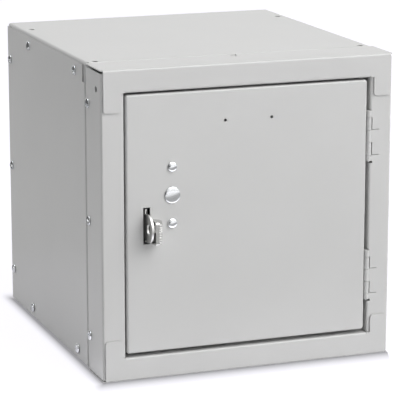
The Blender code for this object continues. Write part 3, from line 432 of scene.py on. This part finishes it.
for name, (place, size, turn, brightness) in CARDS.items():
    bpy.ops.mesh.primitive_plane_add(size=1, location=place, rotation=(QUARTER, 0, radians(turn)))
    card = bpy.context.object
    card.name = name
    card.scale = (*size, 1)
    face, tree = new_material(name + "_face")
    unlit = add_node(tree, "ShaderNodeEmission", {"Color": WHITE, "Strength": brightness})
    add_node(tree, "ShaderNodeOutputMaterial", Surface=unlit.outputs[0])
    card.data.materials.append(face)
    mirror_only(card)
print("cards:", ", ".join(CARDS))

# %% [markdown]
# ## Grey baked enamel
# The sheets are painted after folding and baked, which leaves a hard satin coat with a faint orange-peel
# skin. A Principled shader with a mid roughness gives the satin, and two noises give the skin and a very
# slight unevenness of tone. Real orange peel is finer, and is drawn at 2.4 mm so that it shows.

# %% Enamel
ENAMEL_GREY = "C8C8C7"
ENAMEL_ROUGHNESS = 0.33
ENAMEL_IOR = 1.5
CLOUD_SPACING = 90 * MM
CLOUD_LOW = 0.97
CLOUD_HIGH = 1.03
PEEL_SPACING = 2.4 * MM
PEEL_DEPTH = 0.05 * MM
PEEL_STRENGTH = 0.15

# Baked enamel gives the eye wide soft highlights that a faint skin ripples.
grey, tree = new_material("grey baked enamel")
place = add_node(tree, "ShaderNodeTexCoord").outputs["Object"]
cloud = add_node(tree, "ShaderNodeTexNoise", {"Scale": 1 / CLOUD_SPACING, "Detail": 2}, Vector=place)
level = add_node(tree, "ShaderNodeMapRange", span(0, 1, CLOUD_LOW, CLOUD_HIGH), cloud.outputs[0])
tone = add_node(tree, "ShaderNodeHueSaturation", {"Color": colour(ENAMEL_GREY)}, Value=level.outputs[0])
peel = add_node(tree, "ShaderNodeTexNoise", {"Scale": 1 / PEEL_SPACING, "Detail": 1}, Vector=place)
relief = {"Strength": PEEL_STRENGTH, "Distance": PEEL_DEPTH}
skin = add_node(tree, "ShaderNodeBump", relief, Height=peel.outputs[0]).outputs[0]
satin = {"Roughness": ENAMEL_ROUGHNESS, "IOR": ENAMEL_IOR}
shader = add_node(tree, "ShaderNodeBsdfPrincipled", satin, Base_Color=tone.outputs[0], Normal=skin)
add_node(tree, "ShaderNodeOutputMaterial", Surface=shader.outputs[0])
print(grey.name, "of roughness", ENAMEL_ROUGHNESS)

# %% [markdown]
# ## Zinc plate and cast zinc
# The screws, the plugs and the hasp's staple are steel with a zinc plate, and the pull is cast in zinc.
# Zinc is a metal with a clean but slightly cloudy shine, so its roughness is low and a small noise makes it
# uneven. The real bloom is finer, and is drawn at 1.5 mm so that it shows.

# %% Zinc
BLOOM_SPACING = 1.5 * MM
BLOOM_DEPTH = 0.008 * MM
BLOOM_STRENGTH = 0.1
SMOOTHER = 0.85
ROUGHER = 1.15


def zinc(name, hex_digits, roughness):
    made, tree = new_material(name)
    place = add_node(tree, "ShaderNodeTexCoord").outputs["Object"]
    bloom = add_node(tree, "ShaderNodeTexNoise", {"Scale": 1 / BLOOM_SPACING, "Detail": 3}, Vector=place)
    sheen = span(0, 1, roughness * SMOOTHER, roughness * ROUGHER)
    gloss = add_node(tree, "ShaderNodeMapRange", sheen, bloom.outputs[0]).outputs[0]
    relief = {"Strength": BLOOM_STRENGTH, "Distance": BLOOM_DEPTH}
    dents = add_node(tree, "ShaderNodeBump", relief, Height=bloom.outputs[0]).outputs[0]
    metal = {"Base Color": colour(hex_digits), "Metallic": 1}
    shader = add_node(tree, "ShaderNodeBsdfPrincipled", metal, Roughness=gloss, Normal=dents)
    add_node(tree, "ShaderNodeOutputMaterial", Surface=shader.outputs[0])
    return made


bright_zinc = zinc("bright zinc plate", "E2E4E6", 0.18)  # a cool shine with nearly sharp reflections
worn_zinc = zinc("worn zinc plate", "CFCFCD", 0.36)  # duller and softer, where padlocks have rubbed it
shaded_zinc_casting = zinc("satin zinc casting", "C8C8C6", 0.25)  # darker than the plate: painted shade that keeps the pull's flat front band grey
print("zinc:", bright_zinc.name, "/", worn_zinc.name, "/", shaded_zinc_casting.name)

# %% [markdown]
# ## Black rubber
# The bumpers are moulded rubber, which is matt and never quite black. A fine noise gives it the skin that
# the mould leaves.

# %% Rubber
RUBBER_BLACK = "1E1E1F"
RUBBER_ROUGHNESS = 0.75
GRAIN_SPACING = 0.6 * MM
GRAIN_DEPTH = 0.04 * MM
GRAIN_STRENGTH = 0.3

# Moulded rubber gives the eye a dull dark grey without a clear reflection.
black_rubber, tree = new_material("moulded black rubber")
place = add_node(tree, "ShaderNodeTexCoord").outputs["Object"]
grain = add_node(tree, "ShaderNodeTexNoise", {"Scale": 1 / GRAIN_SPACING, "Detail": 2}, Vector=place)
relief = {"Strength": GRAIN_STRENGTH, "Distance": GRAIN_DEPTH}
skin = add_node(tree, "ShaderNodeBump", relief, Height=grain.outputs[0]).outputs[0]
matt = {"Base Color": colour(RUBBER_BLACK), "Roughness": RUBBER_ROUGHNESS}
shader = add_node(tree, "ShaderNodeBsdfPrincipled", matt, Normal=skin)
add_node(tree, "ShaderNodeOutputMaterial", Surface=shader.outputs[0])
print(black_rubber.name, "of roughness", RUBBER_ROUGHNESS)

# %% [markdown]
# ## Tools for modelling
# Each piece is made with the same moves as by hand: one object is made active, some of its faces or edges
# are picked, and an operator changes them. Picking by place or direction replaces the mouse. A finished
# piece gets smooth bends, its material, and the CAD body that it moves with.

# %% Modelling helpers
SHARP = radians(32)
BODY_OF = {node: body for body, nodes in frame["record"]["behaviour"]["bodies"].items() for node in nodes}


def only(piece):
    """Makes one piece the active object, and the only selected one."""
    bpy.ops.object.select_all(action="DESELECT")
    piece.select_set(True)
    bpy.context.view_layer.objects.active = piece


def edit(piece):
    only(piece)
    bpy.ops.object.mode_set(mode="EDIT")
    bpy.ops.mesh.select_all(action="SELECT")


def leave_edit():
    bpy.ops.object.mode_set(mode="OBJECT")


def modify(piece, kind, **settings):
    """Adds a modifier, sets it and applies it."""
    only(piece)
    modifier = piece.modifiers.new(kind.lower(), kind)
    for name, value in settings.items():
        setattr(modifier, name, value)
    bpy.ops.object.modifier_apply(modifier=modifier.name)


def ease(piece, width, segments=2):
    """Rounds the sharp edges a little, as tumbling or paint does."""
    modify(piece, "BEVEL", width=width, segments=segments, limit_method="ANGLE", angle_limit=SHARP)


def copy_of(model):
    piece = bpy.data.objects.new(model.name, model.data.copy())
    bpy.context.scene.collection.objects.link(piece)
    return piece


def hand_over(piece, name, material, body, slot, *stands_for):
    """Names a finished piece, dresses it, and puts it on its body in place of its CAD nodes."""
    only(piece)
    piece.name = name
    bpy.ops.object.transform_apply(location=True, rotation=True, scale=True)
    bpy.ops.object.shade_smooth_by_angle(angle=SHARP)
    modify(piece, "WEIGHTED_NORMAL", keep_sharp=True)
    piece.data.materials.clear()
    piece.data.materials.append(material)
    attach(piece, body)
    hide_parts(*stands_for)


print("bodies that pieces ride on:", ", ".join(sorted(set(BODY_OF.values()))))

# %% [markdown]
# ## Folded sheets
# The frame, the panels and the hinge leaves are sheet steel, cut flat and folded. Their CAD shapes are
# right, but they are loose triangles, which catch the light facet by facet. A copy of each is merged and
# its flats are joined again, so that the bends shade smoothly. The raw cut edges are eased, because paint
# draws back from a sharp edge and leaves it round.

# %% Sheets
PAINTED_EDGE = 0.25 * MM
SAME_POINT = 0.002 * MM
SAME_FLAT = radians(0.5)
FRAME = ["top_rail", "bottom_rail", "left_stile", "right_stile"]
PANELS = ["left_side_panel", "right_side_panel", "top_panel", "bottom_panel", "back_panel", "door"]
HINGES = [f"{end}_hinge_{part}" for part in ("frame_leaf", "door_leaf", "pin") for end in ("upper", "lower")]


def whole_copy(node):
    """A copy of a CAD node with its triangles merged and its flat faces joined."""
    piece = copy_of(NODES[node])
    edit(piece)
    bpy.ops.mesh.customdata_custom_splitnormals_clear()
    bpy.ops.mesh.remove_doubles(threshold=SAME_POINT)
    bpy.ops.mesh.dissolve_limited(angle_limit=SAME_FLAT)
    leave_edit()
    return piece


for node in FRAME + PANELS + HINGES:
    sheet = whole_copy(node)
    ease(sheet, PAINTED_EDGE)
    hand_over(sheet, f"painted_{node}", grey, BODY_OF[node], "grey_enamel", node)
print("painted", len(FRAME + PANELS + HINGES), "folded sheets")

# %% [markdown]
# ## Turned pieces
# Screws, rivets, plugs and bumpers are round, as if turned on a lathe. Each one starts as a disc on the Z
# axis. Its upper face is drawn up and widened or narrowed, ring by ring, which gives any turned profile. The
# piece is then stood on the locker with its crown just where the crown of its CAD node is.

# %% Turning and placing
DOME_TIP = 0.02  # of the radius, because a ring can't close to a point


def turned(name, profile, steps=48):
    """A round piece, drawn up from rings of (radius, height) in millimetres, lowest first."""
    radius, height = profile[0]
    bpy.ops.object.select_all(action="DESELECT")
    bpy.ops.mesh.primitive_circle_add(
        vertices=steps, radius=radius * MM, fill_type="NGON", location=(0, 0, height * MM)
    )
    piece = bpy.context.object
    piece.name = name
    bpy.ops.object.transform_apply(location=True, rotation=True, scale=True)
    edit(piece)
    for next_radius, next_height in profile[1:]:
        rise = (0, 0, (next_height - height) * MM)
        bpy.ops.mesh.extrude_region_move(TRANSFORM_OT_translate={"value": rise})
        widen = next_radius / radius
        bpy.ops.transform.resize(value=(widen, widen, 1))
        radius, height = next_radius, next_height
    bpy.ops.mesh.select_all(action="SELECT")
    bpy.ops.mesh.normals_make_consistent(inside=False)
    leave_edit()
    return piece


def dome_rings(radius, crown, base, steps=10):
    """The rings of a domed head, from its rim to just short of its middle."""
    angles = [QUARTER * step / steps for step in range(1, steps)]
    rings = [(radius * cos(angle), base + crown * sin(angle)) for angle in angles]
    return rings + [(radius * DOME_TIP, base + crown)]


def stand(piece, node, outward, turn=0):
    """Faces a round piece outward, with its crown at the crown of the CAD node."""
    low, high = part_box(node)
    outward = Vector(outward)
    reach = abs((high - low).dot(outward)) / 2
    crown = (low + high) / 2 + outward * reach
    top = max(vert.co.z for vert in piece.data.vertices)
    facing = outward.to_track_quat("Z", "Y").to_matrix().to_4x4()
    piece.matrix_world = Matrix.Translation(crown - outward * top) @ facing @ Matrix.Rotation(turn, 4, "Z")


print("a domed head has", len(dome_rings(5, 2.1, 0.8)), "rings")

# %% [markdown]
# ## Sheet-metal screws
# The panels are held by slotted round-head screws, ten on each side and one on the top rail. A blank with a
# few thread ridges is turned, its driver slot is cut, and its edges are eased. The screw is modelled once
# and copied, and each copy is left at its own angle, as a fitter leaves them. The one on the top rail is
# drawn in until its head is nearly flush, and it went on before painting, so it is grey.

# %% Screws
SCREW_TIP = (0.25, -9)
THREAD_START = -7.4
THREAD_PITCH = 1.2
THREAD_RIDGES = 6
THREAD_ROOT = 1.55
THREAD_CREST = 2
SCREW_NECK = [(1.9, 0), (1.9, 0.3), (4.6, 0.3), (4.9, 0.45), (5, 0.8)]
SCREW_HEAD = dome_rings(5, 2.1, 0.8)
DRIVER_SLOT = (12 * MM, 1.3 * MM, 2.6 * MM)
DRIVER_HEIGHT = 2.6 * MM
SCREW_EDGE = 0.12 * MM
SCREW_TURN = radians(67)
TOP_SCREW_SINK = 1.5 * MM


def cut_away(piece, tool):
    """Takes the tool's shape out of the piece, and removes the tool."""
    modify(piece, "BOOLEAN", operation="DIFFERENCE", solver="EXACT", object=tool)
    bpy.data.objects.remove(tool)


def screw_model():
    rings = [SCREW_TIP]
    for ridge in range(THREAD_RIDGES):
        low = THREAD_START + ridge * THREAD_PITCH
        crest, end = low + 0.4 * THREAD_PITCH, low + 0.8 * THREAD_PITCH
        rings += [(THREAD_ROOT, low), (THREAD_CREST, crest), (THREAD_ROOT, end)]
    blank = turned("screw", rings + SCREW_NECK + SCREW_HEAD)
    bpy.ops.mesh.primitive_cube_add(size=1, location=(0, 0, DRIVER_HEIGHT))
    driver = bpy.context.object
    edit(driver)
    bpy.ops.transform.resize(value=DRIVER_SLOT)
    leave_edit()
    cut_away(blank, driver)
    ease(blank, SCREW_EDGE)
    return blank


screw = screw_model()
screw_nodes = sorted(node for node in NODES if "screw" in node and "plug" not in node and "pull" not in node)
for k, node in enumerate(screw_nodes):
    piece = copy_of(screw)
    on_top = node == "top_rail_screw"
    outward = (0, 0, 1) if on_top else (-1 if node.startswith("left") else 1, 0, 0)
    stand(piece, node, outward, SCREW_TURN * k)
    if on_top:
        piece.matrix_world = Matrix.Translation((0, 0, -TOP_SCREW_SINK)) @ piece.matrix_world
    hand_over(piece, f"slotted_{node}", grey if on_top else bright_zinc, "cabinet", "zinc_plate", node)
bpy.data.objects.remove(screw)
print("screws:", len(screw_nodes))

# %% [markdown]
# ## Plugs in the lock holes
# The door is made for a choice of locks. Here three polished plugs close the holes that a lock would use: a
# flat button and two small domes, each with a stem that snaps in from the front.

# %% Plugs
PLUGS = {  # height of the crown and radius of the stem, in millimetres
    "lock_hole_plug": (1.8, 6.2),
    "upper_screw_hole_plug": (2.4, 3.2),
    "lower_screw_hole_plug": (2.4, 3.2),
}
SNAP = [(-1, 0), (0.6, 1.2), (0.9, 2.4), (0, 3)]  # out from the stem, and up from its end
PLUG_SEAT = 0.3
PLUG_RIM = 0.2
PLUG_UNDERCUT = 0.4

for node, (crown, stem) in PLUGS.items():
    low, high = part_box(node)
    radius = (high.x - low.x) / 2 / MM
    depth = (high.y - low.y) / MM - crown - PLUG_SEAT
    rim = PLUG_SEAT + PLUG_RIM
    rings = [(stem + out, -depth + up) for out, up in SNAP]
    rings += [(stem, PLUG_SEAT), (radius - PLUG_UNDERCUT, PLUG_SEAT), (radius, rim)]
    plug = turned(node, rings + dome_rings(radius, crown - PLUG_RIM, rim, 14), 64)
    stand(plug, node, (0, -1, 0))
    hand_over(plug, f"polished_{node}", bright_zinc, "door", "zinc_plate", node)
    print(node, "radius", round(radius, 1), "mm")

# %% [markdown]
# ## Rivets, pull screws and bumpers
# Two rivets hold the staple's foot behind the stop lip, and two screws hold the pull from inside the door.
# The rubber bumpers are pushed through the stop lip and take the shock when the door is slammed. Each
# profile is written as rings of radius and height in millimetres.

# %% Rivets, pull screws and bumpers
RIVET_TAIL = [(1.9, 0), (3.1, 0.5), (3.4, 1.0), (3.4, 1.3)]
RIVET_RADIUS = 3.4
RIVET_HEAD = 1.3
RIVET_SHANK = 1.8
PULL_SCREW_RADIUS = 3
PULL_SCREW_HEAD = 1.2
PULL_SCREW_RIM = 0.1
PULL_SCREW_UNDERSIDE = 2.8
PULL_SCREW_SHANK = 1.5
BUMPER_STEM = [(0.4, 0), (1.3, 0.5), (2.2, 2.2), (2.9, 4), (2, 4), (2, 6)]
BUMPER_HEAD = [(3.7, 6), (4, 6.3), (4, 7.1), (3.6, 7.9), (2.8, 8.4), (1.4, 8.6), (0.1, 8.6)]


def height_of(node):
    low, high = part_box(node)
    return (high.y - low.y) / MM


for node in ("staple_rivet_upper", "staple_rivet_lower"):
    neck = height_of(node) - RIVET_HEAD
    rings = [*RIVET_TAIL, (RIVET_SHANK, RIVET_HEAD), (RIVET_SHANK, neck), (RIVET_RADIUS, neck)]
    rivet = turned(node, rings + dome_rings(RIVET_RADIUS, RIVET_HEAD, neck))
    stand(rivet, node, (0, -1, 0))
    hand_over(rivet, f"set_{node}", bright_zinc, "cabinet", "zinc_plate", node)
for node in ("pull_screw_upper", "pull_screw_lower"):
    neck = height_of(node) - PULL_SCREW_HEAD - PULL_SCREW_RIM
    rim = neck + PULL_SCREW_RIM
    rings = [(PULL_SCREW_SHANK, 0), (PULL_SCREW_SHANK, neck), (PULL_SCREW_UNDERSIDE, neck)]
    rings += [(PULL_SCREW_RADIUS, rim), *dome_rings(PULL_SCREW_RADIUS, PULL_SCREW_HEAD, rim)]
    fixing = turned(node, rings)
    stand(fixing, node, (0, 1, 0))
    hand_over(fixing, f"inside_{node}", bright_zinc, "door", "zinc_plate", node)
for node in ("upper_door_bumper", "lower_door_bumper"):
    bumper = turned(node, BUMPER_STEM + BUMPER_HEAD, 32)
    stand(bumper, node, (0, -1, 0))
    hand_over(bumper, f"rubber_{node}", black_rubber, "cabinet", "rubber", node)
print("rivets, pull screws and bumpers: 6")

# %% [markdown]
# ## Blocks and holes
# The hasp's staple and the pull both start as a block between two corners, and both are drilled. A hole is
# what a cylinder takes away. Edges and faces are picked by where they lie, so two small functions answer
# where the middle of one is, and whether an edge lies at a given x or y.

# %% Blocks and holes
X, Y = 0, 1
SAME_PLACE = 0.01 * MM
DRILL_TURNS = {"x": (0, QUARTER, 0), "y": (QUARTER, 0, 0)}


def pick(piece, kind, test):
    """In edit mode, selects the edges or faces that pass a test."""
    bpy.ops.mesh.select_mode(type=kind)
    bpy.ops.mesh.select_all(action="DESELECT")
    shape = bmesh.from_edit_mesh(piece.data)
    for item in {"EDGE": shape.edges, "FACE": shape.faces}[kind]:
        item.select_set(test(item))
    shape.select_flush_mode()
    bmesh.update_edit_mesh(piece.data)


def middle(item):
    """The middle of an edge or a face."""
    return sum((vert.co for vert in item.verts), Vector()) / len(item.verts)


def lies_at(edge, axis, value):
    """Whether both ends of an edge are at one x or y."""
    return all(abs(vert.co[axis] - value) < SAME_PLACE for vert in edge.verts)


def block(low, high):
    """A box between two corners, open for shaping."""
    bpy.ops.object.select_all(action="DESELECT")
    bpy.ops.mesh.primitive_cube_add(size=1, location=(Vector(low) + Vector(high)) / 2)
    piece = bpy.context.object
    edit(piece)
    bpy.ops.transform.resize(value=Vector(high) - Vector(low))
    leave_edit()
    bpy.ops.object.transform_apply(location=True, rotation=True, scale=True)
    return piece


def drill(piece, point, radius, along, length, steps=64):
    """Cuts a round hole through a piece, along the x or y axis."""
    bpy.ops.object.select_all(action="DESELECT")
    bpy.ops.mesh.primitive_cylinder_add(
        vertices=steps, radius=radius, depth=length, location=point, rotation=DRILL_TURNS[along]
    )
    cut_away(piece, bpy.context.object)


door_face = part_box("door")[0].y
print("the door's face is at y =", round(door_face / MM, 1), "mm")

# %% [markdown]
# ## Hasp staple
# The staple is an angle of 2 mm plate. Its foot is riveted behind the stop lip, and its rounded lobe comes
# out through the slot in the door. The blade stops just behind the door's sheet, and a disc of the same
# plate is united with it for the lobe. The foot is extruded from the blade's back end, the bend is rounded,
# and the padlock's eye is drilled.

# %% Staple
STAPLE_SHEET = 2 * MM
DOOR_SHEET = 1.2 * MM
SEAT = 0.3 * MM
LOBE_RADIUS = 14 * MM
LOBE_DROP = 1.6 * MM
FOOT_HEIGHT = 33 * MM
OUTER_BEND = 3 * MM
INNER_BEND = 1 * MM
FOOT_CORNER = 3 * MM
STAPLE_EDGE = 0.3 * MM
EYE_OUT = 9 * MM
STAPLE_EYE = 5.2 * MM
RIVET_HOLE = 2.1 * MM
PLATE_DRILL = 12 * MM


def add_to(piece, other):
    """Unites a second shape with the piece, and removes it."""
    modify(piece, "BOOLEAN", operation="UNION", solver="EXACT", object=other)
    bpy.data.objects.remove(other)


low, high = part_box("hasp_staple")
lobe_z = high.z - FOOT_HEIGHT / 2 - LOBE_DROP
blade_left = high.x - STAPLE_SHEET
foot_front = high.y - STAPLE_SHEET
staple = block((blade_left, door_face + DOOR_SHEET + SEAT, low.z), high)
bpy.ops.object.select_all(action="DESELECT")
bpy.ops.mesh.primitive_cylinder_add(
    vertices=96,
    radius=LOBE_RADIUS,
    depth=STAPLE_SHEET,
    rotation=(0, QUARTER, 0),
    location=((blade_left + high.x) / 2, low.y + LOBE_RADIUS, lobe_z),
)
add_to(staple, bpy.context.object)
edit(staple)
bpy.ops.mesh.bisect(plane_co=(0, foot_front, 0), plane_no=(0, 1, 0))
pick(staple, "FACE", lambda face: face.normal.x < -0.9 and middle(face).y > foot_front)
bpy.ops.mesh.extrude_region_move(TRANSFORM_OT_translate={"value": (low.x - blade_left, 0, 0)})
pick(staple, "EDGE", lambda edge: lies_at(edge, X, high.x) and lies_at(edge, Y, high.y))
bpy.ops.mesh.bevel(offset=OUTER_BEND, segments=8)
pick(staple, "EDGE", lambda edge: lies_at(edge, X, blade_left) and lies_at(edge, Y, foot_front))
bpy.ops.mesh.bevel(offset=INNER_BEND, segments=5)
pick(staple, "EDGE", lambda edge: lies_at(edge, X, low.x) and not lies_at(edge, Y, edge.verts[0].co.y))
bpy.ops.mesh.bevel(offset=FOOT_CORNER, segments=6)
bpy.ops.mesh.select_all(action="SELECT")
bpy.ops.mesh.remove_doubles(threshold=SAME_PLACE)
bpy.ops.mesh.normals_make_consistent(inside=False)
leave_edit()
eye = Vector((0, door_face - EYE_OUT, lobe_z))
drill(staple, (high.x, eye.y, eye.z), STAPLE_EYE, "x", PLATE_DRILL)
for node in ("staple_rivet_upper", "staple_rivet_lower"):
    rivet_low, rivet_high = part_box(node)
    place = (rivet_low + rivet_high) / 2
    drill(staple, (place.x, foot_front, place.z), RIVET_HOLE, "y", PLATE_DRILL, 32)
ease(staple, STAPLE_EDGE, 3)
hand_over(staple, "hasp_staple_plate", worn_zinc, "cabinet", "zinc_plate", "hasp_staple")
print("staple stands out", round((door_face - low.y) / MM, 1), "mm")

# %% [markdown]
# ## Door pull
# The pull is a small plated casting. Its front band is flat and smooth, and its right flank falls away in
# two slopes, with eight teeth across the ridge for the finger. It starts as a block whose two front corners
# are rounded. The right face is drawn out and made smaller twice, and the eye is drilled. A tooth is a bar
# that is turned about its length, so that one of its faces looks up to the light.

# %% Pull
PULL_BAND = 3.7 * MM
PULL_CORNER = 2.6 * MM
PULL_EDGE = 0.6 * MM
PULL_SLOPES = ((4.2 * MM, 0.77, 0.94), (3.1 * MM, 0.12, 0.9))
PULL_EYE = 4.6 * MM
PULL_EYE_DRILL = 30 * MM
PULL_SCREW_HOLE = 1.8 * MM
PULL_SCREW_DRILL = 8.4 * MM
PULL_TEETH = 8
TOOTH_SPACING = 2.5 * MM
TOOTH_SIDE = 1.6 * MM
TOOTH_LENGTH = 3.4 * MM
TOOTH_EDGE = 0.25 * MM
TOOTH_PROUD = 0.6 * MM
TOOTH_TILT = radians(14)
TOOTH_SINK = 0.2 * MM
TOOTH_START = 0.6 * MM
TOOTH_SLOPE = radians(14)

low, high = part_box("door_pull")
pull_z = (low.z + high.z) / 2
base = Vector((0, high.y, pull_z))
rim_x = low.x + PULL_BAND
band_y = low.y + TOOTH_PROUD
pull = block((low.x, band_y, low.z), (rim_x, high.y, high.z))
edit(pull)
pick(pull, "EDGE", lambda edge: lies_at(edge, Y, band_y) and not lies_at(edge, X, edge.verts[0].co.x))
bpy.ops.mesh.bevel(offset=PULL_CORNER, segments=10)
pick(pull, "FACE", lambda face: face.normal.x > 0.9)
for step_out, flatter, shorter in PULL_SLOPES:
    bpy.ops.mesh.extrude_region_move(TRANSFORM_OT_translate={"value": (step_out, 0, 0)})
    bpy.ops.transform.resize(value=(1, flatter, shorter), center_override=base)
pick(pull, "EDGE", lambda edge: lies_at(edge, X, low.x) and middle(edge).y < high.y - MM)
bpy.ops.mesh.bevel(offset=PULL_EDGE, segments=4)
leave_edit()
reach = TOOTH_SIDE / 2 * (cos(TOOTH_TILT) + sin(TOOTH_TILT))
for k in range(PULL_TEETH):
    up = TOOTH_SPACING * (k - (PULL_TEETH - 1) / 2)
    bpy.ops.object.select_all(action="DESELECT")
    bpy.ops.mesh.primitive_cube_add(size=TOOTH_SIDE)
    tooth = bpy.context.object
    edit(tooth)
    bpy.ops.transform.resize(value=(TOOTH_LENGTH / TOOTH_SIDE, 1, 1))
    bpy.ops.mesh.bevel(offset=TOOTH_EDGE, segments=3)
    leave_edit()
    tooth.rotation_euler = (-TOOTH_TILT, 0, TOOTH_SLOPE)
    tooth.location = (rim_x + TOOTH_LENGTH / 2 - TOOTH_START, low.y + reach + TOOTH_SINK, pull_z + up)
    add_to(pull, tooth)
drill(pull, (low.x, eye.y, eye.z), PULL_EYE, "x", PULL_EYE_DRILL)
for node in ("pull_screw_upper", "pull_screw_lower"):
    screw_low, screw_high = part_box(node)
    place = (screw_low + screw_high) / 2
    drill(pull, (place.x, high.y, place.z), PULL_SCREW_HOLE, "y", PULL_SCREW_DRILL, 32)
hand_over(pull, "cast_door_pull", shaded_zinc_casting, "door", "zinc_plate", "door_pull")
print("pull stands out", round((high.y - low.y) / MM, 1), "mm")

# %% [markdown]
# ## Ceiling hook
# Inside, under the top, a strip is bent into two hooks for hangers. It is spot-welded to the top panel. Its
# CAD copy is merged and its edges are eased, because a sheared strip is tumbled before it is plated.

# %% Hook
HOOK_EDGE = 0.3 * MM

hook = whole_copy("ceiling_hook")
ease(hook, HOOK_EDGE)
hand_over(hook, "bent_ceiling_hook", bright_zinc, "cabinet", "zinc_plate", "ceiling_hook")
print("hook:", len(hook.data.polygons), "faces")

# %% [markdown]
# ## Sizes
# Looks mustn't change the locker's size. So the box round the finished model is written out, as the box of
# the CAD model was at the start.

# %% Write the sizes and finish
low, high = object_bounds()
print("finished locker in mm:", [round(x / MM, 1) for x in high - low])
